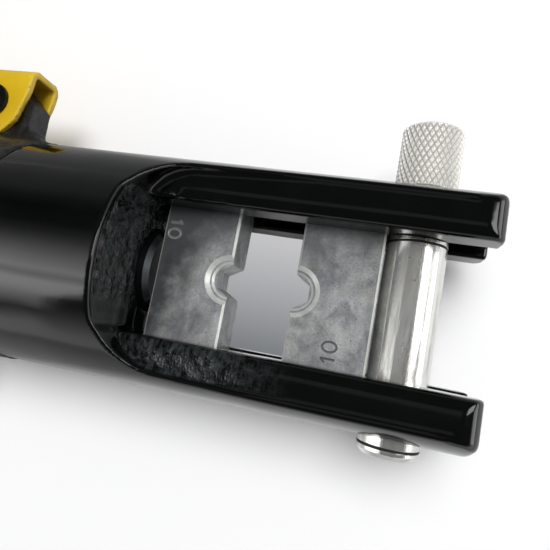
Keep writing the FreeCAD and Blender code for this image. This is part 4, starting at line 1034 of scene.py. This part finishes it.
def castingField(x, y, z):
    # Distance to the skin, below 0 inside: collar, block, lug and boss joined with softMin, the pad and
    # the bores taken out with softMax, and lumps added before the machined faces are cut.
    c = casting
    r = apart(y, z)
    collar, block = np.maximum(r - c["collar"], c["collarRear"] - x), np.maximum(r - c["block"], c["rear"] - x)
    body = softMin(collar, block, c["blockJoin"])
    body = softMax(body, c["rear"] - x, c["rearRound"])
    pad = softMax(np.maximum(c["pad"][0] - x, x - c["pad"][1]), c["padY"] - y, c["padCorner"])
    body = softMax(body, -pad, c["padEdge"])
    lug = np.maximum(softMax(lugOutline(x, y), np.abs(z) - c["lugHalf"], c["lugEdge"]), c["lugFrom"] - y)
    body = softMin(body, lug, c["lugFillet"])
    release = apart(x - c["releaseX"], z)
    boss = softMax(release - c["boss"], np.maximum(c["bossEnd"] - y, y + c["bossFrom"]), c["bossEdge"])
    body = softMin(body, boss, c["bossFillet"])
    body = body + c["cast"] * (lumps(x, y, z, c["castSize"], 11) + c["fineShare"] * lumps(x, y, z, c["fineSize"], 12))
    body = softMax(body, x - c["front"], c["frontEdge"])
    tail = np.minimum(np.maximum(r - c["spigot"], c["spigotEnd"] - x), np.maximum(r - c["nipple"], c["nippleEnd"] - x))
    body = np.minimum(body, np.maximum(tail, x - c["rear"] - 1))
    body = np.maximum(body, -np.maximum(r - c["screwRadius"], c["screwEnd"] - x))
    fromPivot = apart(x - c["pivot"][0], y - c["pivot"][1])
    body = softMax(body, c["pinHole"] - fromPivot, c["boreEdge"])
    plunger = apart(x - c["plungerX"], z)
    body = np.maximum(body, -np.maximum(plunger - c["plungerBore"], c["plungerFloor"] - y))
    body = np.maximum(body, -np.maximum(plunger - c["glandRadius"], c["glandFloor"] - y))
    body = np.maximum(body, -np.maximum(plunger - c["suctionRadius"], y - c["suctionPlug"]))
    body = softMax(body, -np.maximum(release - c["releaseBore"], y - c["releaseSeat"]), c["boreEdge"])
    relief = apart(x - c["relief"][0], y - c["relief"][1])
    body = softMax(body, -np.maximum(relief - c["suctionRadius"], c["reliefFloor"] - z), c["reliefEdge"])
    grub = apart(x - c["grubX"], z)
    return softMax(body, -np.maximum(grub - c["grubRadius"], y + c["grubFloor"]), c["boreEdge"])


carvedPiece("pumpCasting", castingField, castingGrid, "frame", "black_casting", "pump_body")


# Pump handle: a folded sheet channel that widens round the tube
channel = {
    "narrow": 5.0, "wide": 10.8, "wall": 1.6, "outerBend": 2.3, "innerBend": 0.8, "top": 43.2, "slopeX": -105.2,
    "slope": math.tan(math.radians(5)), "flare": (-112.2, -140.2), "flareShares": (0.55, 0.45),
    "edgeRound": 0.22, "holeEdge": 0.15, "wornWidth": 0.5,
    "pivot": (-81.2, 34.2), "pivotHole": 2.56, "slotNear": (-101.2, 26.9), "slotFar": (-102.9, 26.3), "slotHalf": 2.9,
    "outline": [(-71.8, 44.5), (-72.35, 37.6), (-74.35, 29.9), (-77.6, 26.5), (-79.2, 26.0), (-92.1, 26.0),
                (-97.9, 24.2), (-99.0, 22.6), (-101.2, 21.2), (-103.6, 21.1), (-105.8, 21.9), (-107.5, 24.2),
                (-164.2, 31.4), (-164.2, 50.6), (-105.0, 45.0)],
}
channelGrid = {
    "x": [(-165, -110, 0.62), (-110, -71, 0.45)],
    "y": [(20.6, 50.4, 0.45)],
    "z": [(-11.2, -6, 0.45), (-6, 6, 0.4), (6, 11.2, 0.45)],
}


def polygonDistance(x, y, corners):
    # Distance to the nearest side, below 0 inside: the sign flips at each side crossed.
    best = np.full(np.broadcast(x, y).shape, 1e9)
    sign = np.ones(best.shape)
    for number, (ax, ay) in enumerate(corners):
        bx, by = corners[number - 1]
        ex, ey = bx - ax, by - ay
        wx, wy = x - ax, y - ay
        share = np.clip((wx * ex + wy * ey) / (ex * ex + ey * ey), 0, 1)
        best = np.minimum(best, (wx - ex * share) ** 2 + (wy - ey * share) ** 2)
        above, below, left = y >= ay, y < by, ex * wy > ey * wx
        flip = (above & below & left) | (~above & ~below & ~left)
        sign = np.where(flip, -sign, sign)
    return sign * np.sqrt(best)


def channelField(x, y, z):
    # A hollow fold, outer less inner, cut to the outline seen from the side, with a hole and a slot:
    # half width = narrow + (wide - narrow) * share, where share runs from 0 to 1 along the flare.
    c = channel
    share = np.clip((c["flare"][0] - x) / (c["flare"][0] - c["flare"][1]), 0, 1)
    share = share * c["flareShares"][0] + c["flareShares"][1] * share * share * (3 - 2 * share)
    half = c["narrow"] + (c["wide"] - c["narrow"]) * share
    roof = y - c["top"] - np.maximum(0, c["slopeX"] - x) * c["slope"]
    side = np.abs(z) - half
    outer = softMax(side, roof, c["outerBend"])
    inner = softMax(side + c["wall"], roof + c["wall"], c["innerBend"])
    sheet = softMax(outer, -inner, c["edgeRound"])
    sheet = softMax(sheet, polygonDistance(x, y, c["outline"]) + 0 * z, c["edgeRound"])
    hole = apart(x - c["pivot"][0], y - c["pivot"][1]) - c["pivotHole"]
    ax, ay = c["slotNear"]
    ex, ey = c["slotFar"][0] - ax, c["slotFar"][1] - ay
    along = np.clip(((x - ax) * ex + (y - ay) * ey) / (ex * ex + ey * ey), 0, 1)
    slot = apart(x - ax - ex * along, y - ay - ey * along) - c["slotHalf"]
    return softMax(sheet, -np.minimum(hole, slot) + 0 * z, c["holeEdge"])


def channelEdgeSheenAndWear(x, y, z):
    # 1 at the sheet's edges, falling as exp(-distance / wornWidth): there the paint is paler, a painted highlight, and
    # chipped.
    inside = np.maximum(0, -polygonDistance(x, y, channel["outline"]))
    return {"edge": np.exp(-inside / channel["wornWidth"])}


carvedPiece("handleChannel", channelField, channelGrid, "handle", "yellow_paint", "handle_channel", channelEdgeSheenAndWear)


# Round pieces of both handles. Profile rows are (along, radius, rounding).
arm = {
    "tubeStart": -142.2, "length": 190.0, "radius": 9.0, "wall": 1.5, "slope": 5.0, "clearance": 0.2,
    "gripLength": 128.0, "gripRadius": 13.0, "gripTaper": 0.4, "gripMouth": 11.4, "gripShoulder": 2.6,
    "gripHeel": 11.6, "gripPlain": (6, 5), "gripSegments": 240, "ribs": 24, "ribDepth": 0.55, "ribPlain": (9, 12),
    "ribLead": 3, "plugDepth": 12, "plugPlay": 0.02, "plugRim": 2.0, "plugDish": 0.4,
}
tail = {
    "tube": 16.0, "tubeBore": 14.0, "tubeRear": -318.0, "front": -124.0, "tubeSegments": 120,
    "gripStart": -204.0, "gripEnd": -316.0, "gripRadius": 19.0, "gripMouth": 17.6, "gripShoulder": 1.6,
    "gripPlay": 0.02, "gripPlain": 4, "gripSteps": 209, "gripSegments": 288,
    "ringPitch": 22, "ringWidth": 11, "ringPlain": 12, "grooveLean": 1.5, "grooveDepth": 1.0,
    "fineRibs": 48, "fineDepth": 0.35, "finePlain": 8, "fineLead": 2,
}
release = {
    "top": -27.4, "length": 11.0, "radius": 9.0, "bore": 2.62, "foot": 8.2, "crown": 7.9, "dish": (4.2, 3.8, 0.5),
    "bevel": (0.9, 1.0), "plain": 1.4, "segments": 240,
    "flutes": 10, "fluteRadius": 1.5, "fluteCentre": 9.4, "fluteInner": 6, "polish": 0.9,
}
armWay = (-math.cos(math.radians(arm["slope"])), math.sin(math.radians(arm["slope"])), 0)


def armPoint(x):
    # Where the tube's axis is at x: a wall, its radius / cos(slope) and the clearance below the channel's roof.
    c = channel
    base = c["top"] - c["wall"] - arm["radius"] / math.cos(math.radians(arm["slope"])) - arm["clearance"]
    return np.array((x, base + (c["slopeX"] - x) * c["slope"], 0))


def gripRibs(s, angle, r):
    # Ribs along the sleeve: between them the skin is lower by depth * wave * wave, wave = (1 - cos) / 2.
    a = arm
    wave = 0.5 - 0.5 * np.cos(angle * a["ribs"])
    start, end = a["ribPlain"][0], a["gripLength"] - a["ribPlain"][1]
    inside = between(s, start, start + a["ribLead"], end - a["ribLead"], end)
    return -a["ribDepth"] * wave ** 2 * inside


def gripWaves(s, angle, r):
    # Fixed grip: flat rings between rounded grooves, and fine ribs round the rings.
    t = tail
    length = t["gripStart"] - t["gripEnd"]
    plain, lead, end = t["finePlain"], t["fineLead"], length - t["finePlain"]
    inside = between(s, plain, plain + lead, end - lead, end)
    ring = (s - t["ringPlain"]) % t["ringPitch"]
    groove = np.clip(np.minimum(ring - t["ringWidth"], t["ringPitch"] - ring) / t["grooveLean"], 0, 1)
    groove = groove * (s > t["ringPlain"]) * (s < length - t["ringPlain"])
    fine = 0.5 - 0.5 * np.cos(angle * t["fineRibs"])
    onSide = r > t["gripRadius"] - 0.5
    return (-groove * t["grooveDepth"] - fine * t["fineDepth"] * (1 - groove) * inside) * onSide


def flutes(s, angle, r):
    # A round flute each 36 degrees: the near side of a circle centred just outside the knob.
    k = release
    pitch = 2 * math.pi / k["flutes"]
    away = (angle + pitch / 2) % pitch - pitch / 2
    cross = k["fluteCentre"] * np.sin(away)
    depth = k["fluteCentre"] * np.cos(away) - np.sqrt(np.maximum(k["fluteRadius"] ** 2 - cross ** 2, 0))
    return np.where(np.abs(cross) < k["fluteRadius"], np.minimum(depth - r, 0), 0) * (r > k["fluteInner"])


def makePumpHandle():
    a = arm
    start, way = armPoint(a["tubeStart"]), np.array(armWay)
    inner, length = a["radius"] - a["wall"], a["gripLength"]
    tube = [(0, inner, 0), (0, a["radius"], 0.4), (a["length"], a["radius"], 0.3), (a["length"], inner, 0)]
    turnedPiece("handleTube", tube, start, armWay, "handle", "yellow_paint", ["handle_tube"], closed=True)
    near, far = a["gripPlain"]
    middle = [(s, a["gripRadius"] - a["gripTaper"] * (s / length), 0.0) for s in np.linspace(near, length - far, 60)]
    sleeve = [(0, a["radius"], 0), (0, a["gripMouth"], 0.6), (a["gripShoulder"], a["gripRadius"], 1.2)] + middle
    sleeve += [(length, a["gripHeel"], 2.4), (length, a["radius"], 0)]
    turnedPiece("handleGrip", sleeve, start + way * (a["length"] - length), armWay, "handle", "black_rubber",
                ["handle_grip"], a["gripSegments"], gripRibs, closed=True)
    snug = inner - a["plugPlay"]
    plug = [(-a["plugDepth"], 0, 0), (-a["plugDepth"], snug, 0.8), (0, snug, 0), (0, a["radius"], 0.3),
            (a["plugRim"], a["radius"], 1.4), (a["plugRim"] - a["plugDish"], 0, 0)]
    turnedPiece("handlePlug", plug, start + way * a["length"], armWay, "handle", "black_rubber",
                ["handle_end_plug"], 72)


def makeFixedHandle():
    t = tail
    length = t["front"] - t["tubeRear"]
    barrel = [(0, t["tubeBore"], 0), (0, t["tube"], 0.4), (length, t["tube"], 0.4), (length, t["tubeBore"], 0)]
    turnedPiece("reservoirTube", barrel, (t["front"], 0, 0), (-1, 0, 0), "frame", "black_paint",
                ["reservoir_tube"], t["tubeSegments"], closed=True)
    length = t["gripStart"] - t["gripEnd"]
    skin, mouth, bore = t["gripRadius"], t["gripMouth"], t["tube"] + t["gripPlay"]
    middle = [(s, skin, 0.0) for s in np.linspace(t["gripPlain"], length - t["gripPlain"], t["gripSteps"])]
    sleeve = [(0, bore, 0), (0, mouth, 0.8), (t["gripShoulder"], skin, 1.2)] + middle
    sleeve += [(length - t["gripShoulder"], skin, 1.2), (length, mouth, 0.8), (length, bore, 0)]
    turnedPiece("fixedGrip", sleeve, (t["gripStart"], 0, 0), (-1, 0, 0), "frame", "black_rubber",
                ["fixed_grip"], t["gripSegments"], gripWaves, closed=True)


def makeReleaseKnob():
    k = release
    length, radius = k["length"], k["radius"]
    low, high = k["bevel"]
    rim, inside, sunk = k["dish"]
    side = [(s, radius, 0.0) for s in np.linspace(k["plain"], length - k["plain"], 12)]
    line = [(0, k["bore"], 0), (0, k["foot"], 0.5), (low, radius, 0.5)] + side
    line += [(length - high, radius, 0.5), (length, k["crown"], 0.8), (length, rim, 0.3),
             (length - sunk, inside, 0), (length - sunk, k["bore"], 0)]
    turnedPiece("releaseKnob", line, (casting["releaseX"], k["top"], 0), (0, -1, 0), "release_valve", "knurled_steel",
                ["release_knob"], k["segments"], flutes, closed=True,
                paint=lambda points: {"height": 0 * points[:, 0] + k["polish"]})


makePumpHandle()
makeFixedHandle()
makeReleaseKnob()
print("handles made")


# Camera: fitted to the picture, 550 pixels wide
view = {
    "place": (16.93, -9.22, 101.0), "ahead": (-0.2144, 0.1190, -0.9695), "up": (-0.1519, 0.9764, 0.1535),
    "imageWidth": 550, "focalPixels": 489.25, "sensor": 36.0, "clip": (0.005, 20),
}
camera = linkNew("camera", bpy.data.cameras.new("camera"))
ahead = Vector(view["ahead"]).normalized()
right = ahead.cross(Vector(view["up"])).normalized()
up = right.cross(ahead)
turn = Matrix((right, up, -ahead)).transposed().to_4x4()
camera.matrix_world = Matrix.Translation(Vector(view["place"]) * mm) @ turn
camera.data.sensor_width = view["sensor"]
camera.data.lens = view["sensor"] * view["focalPixels"] / view["imageWidth"]
camera.data.clip_start, camera.data.clip_end = view["clip"]
bpy.context.scene.camera = camera


# Floor, sky and lamps. Places on the floor are in metres. A lamp's place is its bearing and height
# in degrees and its distance.
floorLook = {
    "size": 12.0, "colour": (0.93, 0.93, 0.935), "fadeToWhite": (0.3, 0.75),
    "mirrored": (0.45, 0.45, 0.46), "mirroredFar": (0.27, 0.27, 0.275), "mirroredTip": (0.85, 0.85, 0.86),
    "nearSide": (-0.12, 0.12), "tipSide": (0.03, 0.12), "under": (0.05, 0.1),
    "glowNear": (0.9, 0.9, 0.9), "glowFar": (0.3, 0.3, 0.3),
    "gapFrom": (-0.0245, -0.0155), "gapTo": (0.002, 0.0205), "gapEdge": 0.001,
    "gapLow": (0.205, 0.218, 0.23), "gapHigh": (0.545, 0.545, 0.56), "gapRun": (-0.0135, 0.015),
}
sky = {
    "plain": 0.34, "zenith": 0.06, "nearSide": 0.9, "farSide": 0.3, "tipSide": 0.8, "window": (0.47, 0.52),
    "windowLevel": 5.0, "windowShift": (41, 57, 0.1, 0.0),
    "windowStops": [(0, 0.2), (11, 0.22), (19, 0.13), (26, 0.05), (34, 0.26), (42, 0.46), (50, 0.68), (57, 0.74),
                    (63, 0.4), (69, 0.64), (76, 0.48), (84, 0.33), (91, 0.2), (98, 0.1), (105, 0.04), (114, 0.01),
                    (130, 0.004), (140, 0.014), (150, 0.034), (162, 0.04), (180, 0.056)],
}
lamps = {
    "overhead": {"bearing": 65, "height": 73, "distance": 1.0, "size": (0.5, 0.5), "power": 9.3, "mirrored": False},
    "tipLamp": {"bearing": 12, "height": 44, "distance": 0.9, "size": (0.3, 0.4), "power": 1.9, "shines": False},
    "tipLow": {"bearing": 4, "height": 12, "distance": 0.9, "size": (0.6, 0.3), "power": 1.15, "shines": False},
    "strip": {"bearing": 139, "height": 84.7, "distance": 0.9, "size": (0.66, 0.24), "power": 0.085,
              "shines": False, "level": True},
}


def makeFloor():
    # White far off. In reflections it is greyer, darkest on the far side and palest past the tip.
    # Between the dies the camera sees a painted shadow on it in place of the lit floor, grey and palest towards the
    # upper arm.
    k = floorLook
    lowest = cadBox[0].z / mm
    half = k["size"] / 2 / mm
    ticks = np.linspace(-half, half, 9)
    x, y = np.meshgrid(ticks, ticks, indexing="ij")
    points = np.stack([x, y, np.full_like(x, lowest)], -1).reshape(-1, 3)
    ids = np.arange(len(points)).reshape(x.shape)
    faces = np.stack([ids[:-1, :-1], ids[1:, :-1], ids[1:, 1:], ids[:-1, 1:]], -1).reshape(-1, 4)
    floor = solidOf("floor", points, faces)
    f = Finish("paleFloor", Roughness=0.6)
    ray = f.add("ShaderNodeLightPath")
    seen, mirrored = ray["Is Camera Ray"], ray["Is Glossy Ray"]
    spot = f.axes(f.place())
    side = f.span(spot["Y"], *k["nearSide"])
    far = f.mix(f.span(spot["X"], *k["tipSide"]), f.mix(side, k["mirrored"], k["mirroredFar"]), k["mirroredTip"])
    away = f.add("ShaderNodeVectorMath", {"operation": "LENGTH"}, {0: f.place()})["Value"]
    reflected = f.mix(f.span(away, *k["under"]), k["colour"], far)
    f.feed(Base_Color=f.mix(mirrored, k["colour"], reflected))
    # painted shadow between the dies: a grey patch that the camera sees on the floor under the fork
    (x0, y0), (x1, y1), edge = k["gapFrom"], k["gapTo"], k["gapEdge"]
    inGap = f.span(spot["X"], x0, x0 + edge) * f.span(spot["X"], x1 - edge, x1, 1.0, 0.0)
    inGap = inGap * f.span(spot["Y"], y0, y0 + edge) * f.span(spot["Y"], y1 - edge, y1, 1.0, 0.0)
    gapShadow = f.mix(inGap, (1.0, 1.0, 1.0), f.mix(f.span(spot["Y"], *k["gapRun"]), k["gapLow"], k["gapHigh"]))
    glow = f.mix(seen, f.mix(side, k["glowNear"], k["glowFar"]), gapShadow)
    white = f.add("ShaderNodeEmission", None, {"Color": glow, "Strength": 1.0})["Emission"]
    share = (seen + mirrored).atMost(1) * f.span(away, *k["fadeToWhite"])
    share = (share + seen * inGap).atMost(1)
    both = f.add("ShaderNodeMixShader", None, {0: share, 1: Wire(f, f.shader.outputs["BSDF"]), 2: white})
    f.plug(f.tree.nodes["Material Output"].inputs["Surface"], both["Shader"])
    floor.data.materials.append(f.material)


def addLamp(name, settings):
    # The lamp faces the object, or straight down where it is level.
    lamp = bpy.data.lights.new(name, "AREA")
    lamp.shape = "RECTANGLE"
    lamp.size, lamp.size_y = settings["size"]
    lamp.energy = settings["power"]
    bearing, height = math.radians(settings["bearing"]), math.radians(settings["height"])
    way = Vector((math.cos(height) * math.cos(bearing), math.cos(height) * math.sin(bearing), math.sin(height)))
    holder = linkNew(name, lamp)
    holder.location = way * settings["distance"]
    if not settings.get("level"):
        holder.rotation_euler = (-way).to_track_quat("-Z", "Y").to_euler()
    holder.visible_glossy = settings.get("mirrored", True)
    holder.visible_diffuse = settings.get("shines", True)


def makeSky():
    # White behind everything. In reflections it is dark overhead and pale towards the horizon,
    # palest on the near side: strength = zenith + low * (far side .. near side + tip side).
    # Behind the tool it follows a soft window: its levels go by the angle about X, 0 the near horizon.
    s = sky
    n = Finish("studio", world=True)
    ray = n.add("ShaderNodeLightPath")
    way = n.axes(n.add("ShaderNodeTexCoord")["Generated"])
    low = n.span(way["Z"], 0.08, 0.5, 1.0, 0.0)
    side = n.span(way["Y"], -0.5, 0.5, s["nearSide"], s["farSide"]) + n.span(way["X"], 0.3, 0.9, 0.0, s["tipSide"])
    plain = s["zenith"] + low * side
    tilt = way["Z"].bearingFrom(way["Y"] * -1)
    stops = [(angle / 180, (level, level, level)) for angle, level in s["windowStops"]]
    band = n.add("ShaderNodeValToRGB", {"stops": stops}, {"Fac": tilt / 180})["Color"] * s["windowLevel"]
    back = n.span(way["X"] * -1 - n.span(tilt, *s["windowShift"]), *s["window"])
    mirrored = plain * (1 - back) + band * back
    seen = ray["Is Glossy Ray"] * mirrored + (1 - ray["Is Glossy Ray"]) * s["plain"]
    n.feed(Color=(1, 1, 1), Strength=ray["Is Camera Ray"] + (1 - ray["Is Camera Ray"]) * seen)
    bpy.context.scene.world = n.material


makeFloor()
for lampName, settings in lamps.items():
    addLamp(lampName, settings)
makeSky()
bpy.context.scene.view_settings.view_transform = "Standard"
print("studio made")
